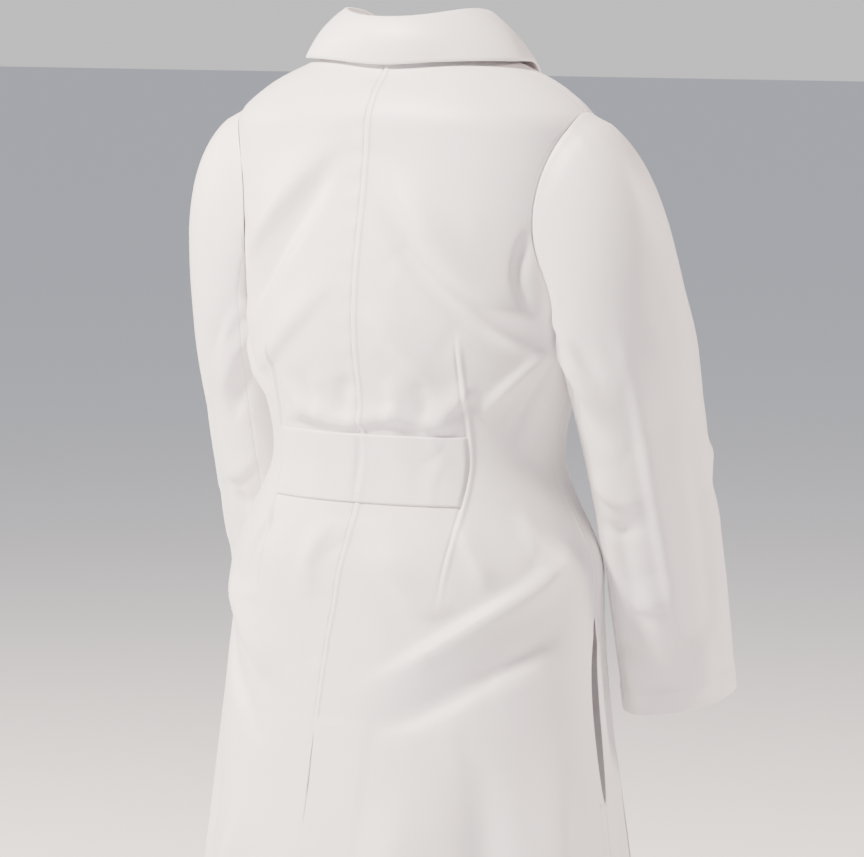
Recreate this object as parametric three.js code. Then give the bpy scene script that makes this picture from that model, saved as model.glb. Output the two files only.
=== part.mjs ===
// A women's lab coat in its worn shape, as an assembly of its sewn pieces.
// Millimetres. The front faces -Y, the wearer's left is +X, up is +Z.
// The origin is the middle of the neck opening, level with the nape seam.
import * as THREE from 'three';
import { mergeVertices } from 'three/addons/utils/BufferGeometryUtils.js';

// ---------------------------------------------------------------- driving dimensions

const COAT_LENGTH = 970;
const NECK_HALF_WIDTH = 78;
const SHOULDER_HALF_WIDTH = 200;
const CHEST_HALF_WIDTH = 182;
const WAIST_HALF_WIDTH = 153;
const HIP_HALF_WIDTH = 200;
const HEM_HALF_WIDTH = 238;

// Depths below the nape at which the body is measured.
const SHOULDER_DROP = 48;
const BUST_DEPTH = 250;
const ARMHOLE_DEPTH = 240;
const WAIST_DEPTH = 385;
const HIP_DEPTH = 505;

// Half depths of the body, to the back and to the front of its middle.
const NAPE_BACK = 60;
const NAPE_FRONT = 62;
const SHOULDER_BACK = 96;
const SHOULDER_FRONT = 76;
const CHEST_BACK = 122;
const CHEST_FRONT = 126;
const WAIST_BACK = 104;
const WAIST_FRONT = 112;
const HIP_BACK = 128;
const HIP_FRONT = 122;
const HEM_BACK = 192;
const HEM_FRONT = 165;

const NECK_RISE = 14;        // the side of the neck seam above the nape
const FRONT_NECK_REACH = 88; // plan distance of the front of the neck seam from the middle
const BODY_ROUNDNESS = 0.9;  // 1 is an ellipse, less is squarer
const SKIRT_TWIST = 7 * Math.PI / 180; // the skirt hangs turned towards the wearer's left

const CLOTH = 0.9;           // one layer of poplin
const SEAM_GAP = 0.5;        // between the edges that a seam joins
const LAYER_GAP = 0.4;       // between two layers that lie on each other

const SIDE_SEAM = 97 * Math.PI / 180;
const SHOULDER_SEAM = 90 * Math.PI / 180;
const ARMHOLE_SPREAD = 34 * Math.PI / 180; // half width of the armhole round the body
const ARMHOLE_STEPS = 12;
const YOKE_STEP = 5;         // the armhole step that the yoke seam meets

const BELT_TOP = 362;
const BELT_HEIGHT = 66;
const BELT_THICKNESS = 1.6;
const BELT_STAND = 0.95;     // the belt lies this far over the back
const DART_OFFSET = 107;     // from the centre back to the darts that hold the belt

const VENT_TOP = 640;
const VENT_WIDTH = 56;
const SLIT_TOP = 540;
const SLIT_LENGTH = 185;
const SLIT_GAP = 10;
const SLIT_FACING_WIDTH = 16;

const FRONT_GAP = 8;         // between the unbuttoned front edges
const FACING_WIDTH = 60;
const PRINCESS_TOP = 146 * Math.PI / 180;
const PRINCESS_HEM = 118 * Math.PI / 180;
const PRINCESS_LAP = 9;      // the centre front laps over the side front

const COLLAR_STAND = 42;
const COLLAR_STEPS = 12;     // facets from the centre back to each front end
const STAND_FRONT = 28;
const STAND_LEAN = 0.12;
const STAND_THICKNESS = 1.4;
const COLLAR_EDGE_BACK = 3;  // depth of the collar's edge at the centre back
const COLLAR_EDGE_SIDE = 15; // and on the shoulders
const COLLAR_EDGE_FRONT = 112; // depth of the collar's points
const COLLAR_POINT_SPREAD = 46; // from the centre front to each point
const COLLAR_BOW = 6;        // of the fall's middle, away from the stand
const COLLAR_CLEARANCE = 7;  // between the collar's edge and the body below it

const SLEEVE_LENGTH = 515;   // along the arm, from the middle of the armhole
const SLEEVE_TOP_WIDTH = 138;
const SLEEVE_HEM_WIDTH = 122;
const SLEEVE_TOP_THICKNESS = 98;
const SLEEVE_HEM_THICKNESS = 84;
const SLEEVE_CAP = 0.283;     // share of the sleeve over which its cap turns round
const CAP_TOP_DIRECTION = [0.85, 0, -0.5];   // in which the cap leaves the shoulder tip
const CAP_UNDER_DIRECTION = [0.35, -0.1, -0.93]; // and the underarm
const SLEEVE_SET = 1.6;      // the sleeve head stands off the body's armhole edge
const SLEEVE_CLEARANCE = 3.2;
const SLEEVE_TURN = 60 * Math.PI / 180; // of its wide section, from sideways to the front
const SLEEVE_ROWS = 15;
const SLEEVE_BACK_SEAM = 8;  // sleeve seams, in steps of the armhole
const SLEEVE_FRONT_SEAM = -7;

const POCKET_WIDTH = 138;
const POCKET_HEIGHT = 185;
const POCKET_TOP = 570;
const POCKET_INSET = 20;     // from the front edge
const POCKET_BULGE = 17;
const CHEST_POCKET_WIDTH = 70;
const CHEST_POCKET_HEIGHT = 112;
const CHEST_POCKET_TOP = 205;
const CHEST_POCKET_INSET = 26;
const CHEST_POCKET_BULGE = 11;
const POCKET_SEAT = 2.3;      // height of a pocket's sewn edge over the panel
const POCKET_HEM = 7;        // width of the sewn edge

const BUTTON_COUNT = 5;
const BUTTON_RADIUS = 9.5;
const BUTTON_THICKNESS = 3;
const FIRST_BUTTON = 145;
const BUTTON_SPACING = 102;
const BUTTON_INSET = 12;

const NECK_FACING_BACK = 62;
const NECK_FACING_SIDE = 16;
const NECK_FACING_INSET = 2.8;
const LOOP_HALF_WIDTH = 30;
const LOOP_DROP = 17;
const LOOP_STRAP = 6;
const LOOP_THICKNESS = 1.6;
const LABEL_WIDTH = 36;
const LABEL_HEIGHT = 20;
const LABEL_THICKNESS = 0.8;
const LABEL_DEPTH = 44;

// ---------------------------------------------------------------- colours and finishes

const POPLIN = { color: 0xf1eeee, roughness: 0.62, metalness: 0 };
const POPLIN_FACING = { color: 0xe9e6e8, roughness: 0.66, metalness: 0 };
const BUTTON_PLASTIC = { color: 0xf4f2ee, roughness: 0.28, metalness: 0 };
const TWILL_TAPE = { color: 0xeceaea, roughness: 0.75, metalness: 0 };
const LABEL_SATIN = { color: 0xf7f7f5, roughness: 0.4, metalness: 0 };

// ---------------------------------------------------------------- small helpers

const lerp = (from, to, share) => from + (to - from) * share;
const clamp01 = (value) => Math.min(1, Math.max(0, value));
const smooth = (share) => clamp01(share) ** 2 * (3 - 2 * clamp01(share));

// A smooth curve through [depth, value] pairs that never overshoots them.
function profile(keys) {
  const slopes = keys.slice(1).map((key, k) => (key[1] - keys[k][1]) / (key[0] - keys[k][0]));
  const tangents = keys.map((key, k) => {
    if (k === 0) return slopes[0];
    if (k === keys.length - 1) return slopes[k - 1];
    const product = slopes[k - 1] * slopes[k];
    return product > 0 ? 2 * product / (slopes[k - 1] + slopes[k]) : 0;
  });
  return (depth) => {
    let k = 0;
    while (k < keys.length - 2 && depth > keys[k + 1][0]) k += 1;
    const span = keys[k + 1][0] - keys[k][0];
    const t = clamp01((depth - keys[k][0]) / span);
    const start = keys[k][1] * (1 + 2 * t) * (1 - t) ** 2;
    const end = keys[k + 1][1] * t * t * (3 - 2 * t);
    const leave = tangents[k] * span * t * (1 - t) ** 2;
    const arrive = tangents[k + 1] * span * t * t * (t - 1);
    return start + end + leave + arrive;
  };
}

// ---------------------------------------------------------------- the body's surface

const halfWidth = profile([
  [0, NECK_HALF_WIDTH], [SHOULDER_DROP, SHOULDER_HALF_WIDTH], [BUST_DEPTH, CHEST_HALF_WIDTH],
  [WAIST_DEPTH, WAIST_HALF_WIDTH], [HIP_DEPTH, HIP_HALF_WIDTH], [COAT_LENGTH, HEM_HALF_WIDTH],
]);
const backDepth = profile([
  [0, NAPE_BACK], [SHOULDER_DROP, SHOULDER_BACK], [BUST_DEPTH, CHEST_BACK],
  [WAIST_DEPTH, WAIST_BACK], [HIP_DEPTH, HIP_BACK], [COAT_LENGTH, HEM_BACK],
]);
const frontDepth = profile([
  [0, NAPE_FRONT], [SHOULDER_DROP, SHOULDER_FRONT], [BUST_DEPTH, CHEST_FRONT],
  [WAIST_DEPTH, WAIST_FRONT], [HIP_DEPTH, HIP_FRONT], [COAT_LENGTH, HEM_FRONT],
]);
const twistAt = (depth) => SKIRT_TWIST * smooth((depth - WAIST_DEPTH) / (VENT_TOP - WAIST_DEPTH));

// The angle is 0 at the centre back, +90 degrees at the wearer's left, 180 at the front.
function torsoPoint(angle, depth) {
  const turned = angle + twistAt(depth);
  const side = Math.sin(turned);
  const back = Math.cos(turned);
  const reach = back >= 0 ? backDepth(depth) : frontDepth(depth);
  const rise = NECK_RISE * (1 - smooth(depth / SHOULDER_DROP)) * side * side;
  return new THREE.Vector3(
    halfWidth(depth) * Math.sign(side) * Math.abs(side) ** BODY_ROUNDNESS,
    reach * Math.sign(back) * Math.abs(back) ** BODY_ROUNDNESS,
    rise - depth,
  );
}

function torsoNormal(angle, depth) {
  const step = 0.004;
  const below = Math.max(depth, 0.5);
  const across = torsoPoint(angle + step, below).sub(torsoPoint(angle - step, below));
  const down = torsoPoint(angle, below + 0.5).sub(torsoPoint(angle, below - 0.5));
  return across.cross(down).normalize();
}

// The angle from the centre back, or from the centre front, to a plan distance across.
const angleAcross = (across, depth) =>
  Math.asin(clamp01(across / halfWidth(depth)) ** (1 / BODY_ROUNDNESS));
const frontAngle = (across, depth) => Math.PI - angleAcross(across, depth);
const angleFromSide = (along, depth) => along / frontDepth(depth);

// The surface point under a plan position near the neck: its angle and its depth.
function torsoUnder(x, y) {
  const power = 2 / BODY_ROUNDNESS;
  let low = 0;
  let high = ARMHOLE_DEPTH;
  for (let step = 0; step < 40; step += 1) {
    const depth = (low + high) / 2;
    const reach = y >= 0 ? backDepth(depth) : frontDepth(depth);
    const inside = Math.abs(x / halfWidth(depth)) ** power + Math.abs(y / reach) ** power < 1;
    if (inside) high = depth;
    else low = depth;
  }
  const across = angleAcross(Math.abs(x), low);
  return { angle: y >= 0 ? across : Math.PI - across, depth: low };
}

// The armhole as a closed loop: turn 0 at the shoulder tip, a quarter at the back.
const armholeDepth = (turn) => lerp(SHOULDER_DROP, ARMHOLE_DEPTH, (1 - Math.cos(turn)) / 2);
const armholeAngle = (turn) =>
  lerp(SHOULDER_SEAM, SIDE_SEAM, (1 - Math.cos(turn)) / 2) - ARMHOLE_SPREAD * Math.sin(turn);
const armholeTurn = (step) => Math.PI * step / ARMHOLE_STEPS;
const YOKE_DEPTH = armholeDepth(armholeTurn(YOKE_STEP));
const turnAtDepth = (depth) =>
  Math.acos(1 - 2 * clamp01((depth - SHOULDER_DROP) / (ARMHOLE_DEPTH - SHOULDER_DROP)));

// Every sheet on the body has its corners on these levels, so that layers stay parallel.
const BODY_LEVELS = (() => {
  const levels = [0, SHOULDER_DROP / 3, SHOULDER_DROP * 2 / 3];
  for (let step = 0; step <= ARMHOLE_STEPS; step += 1) levels.push(armholeDepth(armholeTurn(step)));
  const keys = [
    ARMHOLE_DEPTH, BELT_TOP, BELT_TOP + BELT_HEIGHT / 2, BELT_TOP + BELT_HEIGHT,
    SLIT_TOP, SLIT_TOP + SLIT_LENGTH / 4, VENT_TOP, SLIT_TOP + SLIT_LENGTH * 3 / 4,
    SLIT_TOP + SLIT_LENGTH, COAT_LENGTH,
  ].sort((a, b) => a - b);
  const longestStep = 50;
  for (let k = 1; k < keys.length; k += 1) {
    const parts = Math.ceil((keys[k] - keys[k - 1]) / longestStep);
    for (let part = 1; part <= parts; part += 1) levels.push(lerp(keys[k - 1], keys[k], part / parts));
  }
  return levels;
})();
const levelsBetween = (top, bottom) =>
  BODY_LEVELS.filter((level) => level > top - 0.01 && level < bottom + 0.01);

// ---------------------------------------------------------------- sheets

// A closed sheet from a grid of middle points and outward normals.
function closedSheet(grid, thickness) {
  const rows = grid.length;
  const columns = grid[0].length;
  const positions = [];
  for (const half of [thickness / 2, -thickness / 2]) {
    for (const row of grid) {
      for (const { point, normal } of row) {
        positions.push(...point.clone().addScaledVector(normal, half).toArray());
      }
    }
  }
  const index = [];
  const inner = rows * columns;
  const quad = (a, b, c, d) => index.push(a, b, c, a, c, d);
  for (let r = 0; r < rows - 1; r += 1) {
    for (let c = 0; c < columns - 1; c += 1) {
      const corner = r * columns + c;
      quad(corner, corner + 1, corner + columns + 1, corner + columns);
      quad(inner + corner, inner + corner + columns, inner + corner + columns + 1, inner + corner + 1);
    }
  }
  const rim = (from, to) => quad(from, inner + from, inner + to, to);
  for (let c = 0; c < columns - 1; c += 1) {
    rim(c, c + 1);
    rim((rows - 1) * columns + c + 1, (rows - 1) * columns + c);
  }
  for (let r = 0; r < rows - 1; r += 1) {
    rim((r + 1) * columns, r * columns);
    rim(r * columns + columns - 1, (r + 1) * columns + columns - 1);
  }
  const geometry = new THREE.BufferGeometry();
  geometry.setAttribute('position', new THREE.Float32BufferAttribute(positions, 3));
  geometry.setIndex(index);
  return facingOut(geometry);
}

// Turns the triangles over where the closed surface is inside out.
function facingOut(geometry) {
  const at = geometry.attributes.position;
  const index = geometry.index.array;
  const corner = [new THREE.Vector3(), new THREE.Vector3(), new THREE.Vector3()];
  let volume = 0;
  for (let t = 0; t < index.length; t += 3) {
    corner.forEach((vector, k) => vector.fromBufferAttribute(at, index[t + k]));
    volume += corner[0].dot(corner[1].clone().cross(corner[2]));
  }
  if (volume < 0) {
    for (let t = 0; t < index.length; t += 3) [index[t], index[t + 1]] = [index[t + 1], index[t]];
  }
  geometry.computeVertexNormals();
  return geometry;
}

function pieceMesh(name, geometry, finish) {
  const mesh = new THREE.Mesh(geometry, new THREE.MeshStandardMaterial(finish));
  mesh.name = name;
  return mesh;
}

// A sheet on the body: at each level, the angles of its columns; side is 1 for the left.
function bodySheet(levels, anglesAt, side, offsetAt = () => 0, thickness = CLOTH) {
  const grid = levels.map((level) => anglesAt(level).map((angle, column) => {
    const normal = torsoNormal(side * angle, level);
    const point = torsoPoint(side * angle, level).addScaledVector(normal, offsetAt(level, column));
    return { point, normal };
  }));
  return closedSheet(grid, thickness);
}

// ---------------------------------------------------------------- body panels

const slitOpening = (depth) =>
  SLIT_GAP / 2 * Math.sin(Math.PI * clamp01((depth - SLIT_TOP) / SLIT_LENGTH)) ** 0.5;
const sideGap = (depth) => angleFromSide(SEAM_GAP / 2 + slitOpening(depth), depth);

function backBoundary(depth) {
  if (depth <= SHOULDER_DROP) return SHOULDER_SEAM - angleFromSide(SEAM_GAP / 2, depth);
  if (depth < ARMHOLE_DEPTH) return armholeAngle(turnAtDepth(depth));
  return SIDE_SEAM - sideGap(depth);
}

function backColumns(depth) {
  const edge = backBoundary(depth);
  const seam = angleAcross(SEAM_GAP / 2, depth);
  const vent = angleAcross(VENT_WIDTH, depth);
  const dart = Math.min(angleAcross(DART_OFFSET, depth), edge * 0.72);
  const inner = Math.min(vent, dart * 0.55);
  const facing = edge - angleFromSide(SLIT_FACING_WIDTH, depth);
  return [
    seam, lerp(seam, inner, 0.5), inner, lerp(inner, dart, 0.5), dart,
    lerp(dart, facing, 0.34), lerp(dart, facing, 0.67), facing, edge,
  ];
}

const backPanel = (side) => bodySheet(levelsBetween(0, COAT_LENGTH), backColumns, side);

const princessAngle = (depth) =>
  lerp(PRINCESS_TOP, PRINCESS_HEM, clamp01((depth - YOKE_DEPTH) / (COAT_LENGTH - YOKE_DEPTH)));
const lapAngle = (depth) => princessAngle(depth) + PRINCESS_LAP / halfWidth(depth);
const yokeLevels = (top, bottom) => {
  const levels = levelsBetween(top, bottom);
  levels[0] += SEAM_GAP;
  return levels;
};

function sideFrontColumns(depth) {
  const inner = lapAngle(depth);
  const outer = depth < ARMHOLE_DEPTH
    ? armholeAngle(-turnAtDepth(depth))
    : SIDE_SEAM + sideGap(depth);
  return [inner, lerp(inner, outer, 0.34), lerp(inner, outer, 0.67), outer];
}

const sideFront = (side) => bodySheet(yokeLevels(YOKE_DEPTH, COAT_LENGTH), sideFrontColumns, side);

function centreFrontColumns(depth) {
  const facing = frontAngle(FACING_WIDTH, depth);
  const lap = lapAngle(depth);
  return [
    frontAngle(FRONT_GAP / 2, depth), frontAngle(FACING_WIDTH / 2, depth), facing,
    lerp(facing, lap, 0.45), lerp(facing, lap, 0.9), lap, princessAngle(depth),
  ];
}

// The outer edge of the centre front lies on top of the side front.
const lapOffset = (level, column) => (column >= 5 ? CLOTH + LAYER_GAP : 0);
const centreFront = (side) =>
  bodySheet(yokeLevels(YOKE_DEPTH, COAT_LENGTH), centreFrontColumns, side, lapOffset);

const frontFacing = (side) => bodySheet(
  yokeLevels(YOKE_DEPTH, COAT_LENGTH),
  (depth) => centreFrontColumns(depth).slice(0, 3),
  side,
  () => -(CLOTH + LAYER_GAP),
);

// The neck seam in plan: share 0 at the centre front, 1 at the side of the neck.
function frontNeckPlan(share) {
  const start = Math.asin(FRONT_GAP / 2 / NECK_HALF_WIDTH);
  const turn = lerp(start, Math.PI / 2, share);
  return new THREE.Vector2(NECK_HALF_WIDTH * Math.sin(turn), -FRONT_NECK_REACH * Math.cos(turn));
}

// The front yoke fills the surface between the neck, the shoulder seam, the armhole and its seam.
function frontYoke(side) {
  const columns = 10;
  const rows = 5;
  const neckColumns = COLLAR_STEPS / 2;
  const place = (angle, depth) => new THREE.Vector2(angle, depth);
  const top = (c) => {
    if (c < neckColumns) {
      const plan = frontNeckPlan(c / neckColumns);
      const { angle, depth } = torsoUnder(plan.x, plan.y);
      return place(angle, depth);
    }
    const depth = SHOULDER_DROP * (c - neckColumns) / (columns - neckColumns);
    return place(SHOULDER_SEAM + angleFromSide(SEAM_GAP, depth), depth);
  };
  const outerAngle = armholeAngle(-armholeTurn(YOKE_STEP));
  const bottom = (c) =>
    place(lerp(frontAngle(FRONT_GAP / 2, YOKE_DEPTH), outerAngle, c / columns), YOKE_DEPTH);
  const neckDepth = top(0).y;
  const left = (r) => {
    const depth = lerp(neckDepth, YOKE_DEPTH, r / rows);
    return place(frontAngle(FRONT_GAP / 2, depth), depth);
  };
  const right = (r) => {
    const turn = -armholeTurn(YOKE_STEP * r / rows);
    return r === 0 ? top(columns) : place(armholeAngle(turn), armholeDepth(turn));
  };
  const grid = [];
  for (let r = 0; r <= rows; r += 1) {
    const row = [];
    for (let c = 0; c <= columns; c += 1) {
      const u = c / columns;
      const v = r / rows;
      const at = top(c).multiplyScalar(1 - v).addScaledVector(bottom(c), v)
        .addScaledVector(left(r), 1 - u).addScaledVector(right(r), u)
        .addScaledVector(top(0), -(1 - u) * (1 - v)).addScaledVector(top(columns), -u * (1 - v))
        .addScaledVector(bottom(0), -(1 - u) * v).addScaledVector(bottom(columns), -u * v);
      row.push({ point: torsoPoint(side * at.x, at.y), normal: torsoNormal(side * at.x, at.y) });
    }
    grid.push(row);
  }
  return closedSheet(grid, CLOTH);
}

// ---------------------------------------------------------------- belt, vent and slits

function backBelt() {
  const acrossBack = (depth) => {
    const half = backColumns(depth).slice(0, 5);
    return [...half.map((angle) => -angle).reverse(), ...half];
  };
  const stand = (CLOTH + BELT_THICKNESS) / 2 + BELT_STAND;
  const levels = levelsBetween(BELT_TOP, BELT_TOP + BELT_HEIGHT);
  return bodySheet(levels, acrossBack, 1, () => stand, BELT_THICKNESS);
}

const ventColumns = (depth) => backColumns(depth).slice(0, 3);
const ventLevels = () => levelsBetween(VENT_TOP, COAT_LENGTH);

// The turned edge of the over panel, on its inner side.
const ventFacing = () => bodySheet(ventLevels(), ventColumns, -1, () => -(CLOTH + LAYER_GAP));

// The under panel's extension, which runs behind the over panel and its facing.
function ventUnderlap() {
  const sewn = (depth) => ventColumns(depth)[1];
  const columns = (depth) => [-ventColumns(depth)[2], -ventColumns(depth)[1], -ventColumns(depth)[0],
    ventColumns(depth)[0], sewn(depth)];
  const depthBehind = [2, 2, 2, 1, 1];
  const offset = (level, column) => -(CLOTH + LAYER_GAP) * depthBehind[column];
  return bodySheet(ventLevels(), columns, 1, offset);
}

// A strip inside the front edge of each side slit.
function slitFacing(side) {
  const levels = levelsBetween(SLIT_TOP, SLIT_TOP + SLIT_LENGTH);
  return bodySheet(levels, (depth) => backColumns(depth).slice(-2), side, () => -(CLOTH + LAYER_GAP));
}

// ---------------------------------------------------------------- collar

// The neck seam as a full curve in plan: share 0 at the centre back, 1 at the centre front.
function neckSeam(share) {
  const backShare = 0.5;
  const turn = Math.PI / 2 * share / backShare;
  const plan = share <= backShare
    ? new THREE.Vector2(NECK_HALF_WIDTH * Math.sin(turn), NAPE_BACK * Math.cos(turn))
    : frontNeckPlan(1 - (share - backShare) / (1 - backShare));
  const { angle, depth } = torsoUnder(plan.x, plan.y);
  const rise = torsoPoint(angle, depth).z;
  const out = new THREE.Vector3(plan.x / NECK_HALF_WIDTH ** 2, plan.y / NAPE_BACK ** 2, 0).normalize();
  return { foot: new THREE.Vector3(plan.x, plan.y, rise), out };
}

const COLLAR_SHARES = Array.from({ length: 2 * COLLAR_STEPS + 1 }, (_, k) => k / COLLAR_STEPS - 1);

const mirrored = (vector, side) => new THREE.Vector3(vector.x * side, vector.y, vector.z);
const standHeight = (share) => lerp(COLLAR_STAND, STAND_FRONT, smooth(share));
const standPoint = (share, height) => {
  const { foot, out } = neckSeam(share);
  return foot.clone().addScaledVector(out, -STAND_LEAN * height).add(new THREE.Vector3(0, 0, height));
};

function collarStand() {
  const heights = [0, 0.5, 1];
  const base = SEAM_GAP + STAND_THICKNESS / 2;
  const grid = heights.map((part) => COLLAR_SHARES.map((signed) => {
    const share = Math.abs(signed);
    const side = signed < 0 ? -1 : 1;
    const { out } = neckSeam(share);
    const height = lerp(base, standHeight(share), part);
    return { point: mirrored(standPoint(share, height), side), normal: mirrored(out, side) };
  }));
  return closedSheet(grid, STAND_THICKNESS);
}

// The collar's lower edge lies just over the body: share 0 at the back, 1 at its front point.
function collarEdge(share) {
  const forward = (share - 0.5) / 0.5;
  const depth = forward <= 0
    ? lerp(COLLAR_EDGE_BACK, COLLAR_EDGE_SIDE, smooth(share / 0.5))
    : lerp(COLLAR_EDGE_SIDE, COLLAR_EDGE_FRONT, smooth(forward));
  const across = lerp(halfWidth(COLLAR_EDGE_SIDE), COLLAR_POINT_SPREAD, forward);
  const angle = forward <= 0 ? SHOULDER_SEAM * share / 0.5 : frontAngle(across, depth);
  return torsoPoint(angle, depth).addScaledVector(torsoNormal(angle, depth), COLLAR_CLEARANCE);
}

// The fall runs from the roll line at the stand's top to an edge just over the body.
function collarFall(layer) {
  const parts = [0, 0.35, 0.7, 1];
  const outward = layer * (CLOTH + LAYER_GAP);
  const grid = parts.map((part) => COLLAR_SHARES.map((signed) => {
    const share = Math.abs(signed);
    const side = signed < 0 ? -1 : 1;
    const { out } = neckSeam(share);
    const top = standPoint(share, standHeight(share));
    top.addScaledVector(out, (STAND_THICKNESS + CLOTH) / 2 + LAYER_GAP);
    const edge = collarEdge(share);
    const point = top.clone().lerp(edge, part);
    point.addScaledVector(out, Math.sin(Math.PI * part) * COLLAR_BOW);
    const along = edge.clone().sub(top);
    const aside = new THREE.Vector3(-out.y, out.x, 0);
    const normal = aside.clone().cross(along).normalize();
    if (normal.dot(out) + normal.z < 0) normal.negate();
    point.addScaledVector(normal, outward);
    return { point: mirrored(point, side), normal: mirrored(normal, side) };
  }));
  return closedSheet(grid, CLOTH);
}

// ---------------------------------------------------------------- sleeves

const armPath = new THREE.CatmullRomCurve3([
  new THREE.Vector3(SHOULDER_HALF_WIDTH - 14, -3, -(SHOULDER_DROP + ARMHOLE_DEPTH) / 2 + 4),
  new THREE.Vector3(SHOULDER_HALF_WIDTH + 26, -22, -ARMHOLE_DEPTH - 22),
  new THREE.Vector3(SHOULDER_HALF_WIDTH + 36, -52, -ARMHOLE_DEPTH - 120),
  new THREE.Vector3(SHOULDER_HALF_WIDTH + 40, -88, -ARMHOLE_DEPTH - 250),
  new THREE.Vector3(SHOULDER_HALF_WIDTH + 38, -138, -ARMHOLE_DEPTH - 450),
]);
const armPathLength = armPath.getLength();

// Moves a point sideways until it is clear of the body.
function clearOfBody(point) {
  const power = 2 / BODY_ROUNDNESS;
  const depth = -point.z;
  if (depth < SHOULDER_DROP || point.x < 0) return point;
  const reach = (point.y >= 0 ? backDepth(depth) : frontDepth(depth)) + SLEEVE_CLEARANCE;
  const across = 1 - Math.abs(point.y / reach) ** power;
  if (across <= 0) return point;
  const nearest = (halfWidth(depth) + SLEEVE_CLEARANCE) * across ** (1 / power);
  point.x = Math.max(point.x, nearest);
  return point;
}

// The sleeve's section round the arm, an ellipse turned towards the front.
function sleeveRing(turn, along) {
  const share = Math.min(1, along * SLEEVE_LENGTH / armPathLength);
  const centre = armPath.getPointAt(share);
  const down = armPath.getTangentAt(share);
  const outward = down.clone().cross(new THREE.Vector3(0, 1, 0)).normalize();
  const backward = outward.clone().cross(down).normalize();
  const wide = outward.clone().multiplyScalar(Math.cos(SLEEVE_TURN))
    .addScaledVector(backward, -Math.sin(SLEEVE_TURN));
  const width = lerp(SLEEVE_TOP_WIDTH, SLEEVE_HEM_WIDTH, along) / 2;
  const thickness = lerp(SLEEVE_TOP_THICKNESS, SLEEVE_HEM_THICKNESS, along) / 2;
  const spoke = outward.clone().multiplyScalar(Math.cos(turn)).addScaledVector(backward, Math.sin(turn));
  const point = centre.clone().addScaledVector(spoke, thickness)
    .addScaledVector(wide, (width - thickness) * spoke.dot(wide));
  return { point, down };
}

// The cap leaves the armhole sideways and bends smoothly into the section round the arm.
function sleevePoint(turn, along) {
  if (along >= SLEEVE_CAP) return clearOfBody(sleeveRing(turn, along).point);
  const angle = armholeAngle(turn);
  const depth = armholeDepth(turn);
  const head = torsoPoint(angle, depth).addScaledVector(torsoNormal(angle, depth), SLEEVE_SET);
  if (along === 0) return head;
  const { point: foot, down } = sleeveRing(turn, SLEEVE_CAP);
  const leave = new THREE.Vector3(...CAP_TOP_DIRECTION)
    .lerp(new THREE.Vector3(...CAP_UNDER_DIRECTION), (1 - Math.cos(turn)) / 2).normalize();
  const span = head.distanceTo(foot);
  const t = along / SLEEVE_CAP;
  const point = head.multiplyScalar((1 + 2 * t) * (1 - t) ** 2)
    .addScaledVector(foot, t * t * (3 - 2 * t))
    .addScaledVector(leave, span * t * (1 - t) ** 2)
    .addScaledVector(down, span * t * t * (t - 1));
  return clearOfBody(point);
}

function sleeveNormal(turn, along) {
  const step = 0.01;
  const upper = Math.max(0, along - 3 * step);
  const lower = Math.min(1, along + 3 * step);
  const around = sleevePoint(turn + step, along).sub(sleevePoint(turn - step, along));
  const down = sleevePoint(turn, lower).sub(sleevePoint(turn, upper));
  return down.cross(around).normalize();
}

// Rows are closer together over the cap.
const SLEEVE_SHARES = Array.from({ length: SLEEVE_ROWS + 1 }, (_, row) => {
  const share = row / SLEEVE_ROWS;
  return lerp(share, share * share, 0.4);
});

function sleevePiece(firstStep, lastStep, side) {
  const gap = SEAM_GAP / SLEEVE_TOP_THICKNESS;
  const grid = SLEEVE_SHARES.map((along) => {
    const row = [];
    for (let step = firstStep; step <= lastStep; step += 1) {
      let turn = armholeTurn(step);
      if (step === firstStep) turn += gap;
      if (step === lastStep) turn -= gap;
      row.push({
        point: mirrored(sleevePoint(turn, along), side),
        normal: mirrored(sleeveNormal(armholeTurn(step), along), side),
      });
    }
    return row;
  });
  return closedSheet(grid, CLOTH);
}

const upperSleeve = (side) => sleevePiece(SLEEVE_FRONT_SEAM, SLEEVE_BACK_SEAM, side);
const underSleeve = (side) =>
  sleevePiece(SLEEVE_BACK_SEAM, SLEEVE_FRONT_SEAM + 2 * ARMHOLE_STEPS, side);

// ---------------------------------------------------------------- pockets and buttons

// A patch pocket: sewn down along its sides and foot, standing off between them.
function patchPocket(side, { inset, top, width, height, bulge }) {
  const across = [0, POCKET_HEM, width * 0.3, width / 2, width * 0.7, width - POCKET_HEM, width];
  const down = [0, height * 0.3, height * 0.6, height * 0.85, height - POCKET_HEM, height];
  const grid = down.map((drop, r) => across.map((distance, c) => {
    const sewn = c === 0 || c === across.length - 1 || r === down.length - 1;
    const hem = c === 1 || c === across.length - 2 || r === down.length - 2;
    const full = hem ? lerp(POCKET_SEAT, bulge, 0.45) : bulge;
    const depth = top + drop;
    const angle = frontAngle(FRONT_GAP / 2 + inset + distance, depth);
    const normal = torsoNormal(side * angle, depth);
    const point = torsoPoint(side * angle, depth).addScaledVector(normal, sewn ? POCKET_SEAT : full);
    return { point, normal };
  }));
  return closedSheet(grid, CLOTH);
}

const LOWER_POCKET = {
  inset: POCKET_INSET, top: POCKET_TOP, width: POCKET_WIDTH, height: POCKET_HEIGHT, bulge: POCKET_BULGE,
};
const CHEST_POCKET = {
  inset: CHEST_POCKET_INSET, top: CHEST_POCKET_TOP, width: CHEST_POCKET_WIDTH,
  height: CHEST_POCKET_HEIGHT, bulge: CHEST_POCKET_BULGE,
};

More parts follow.
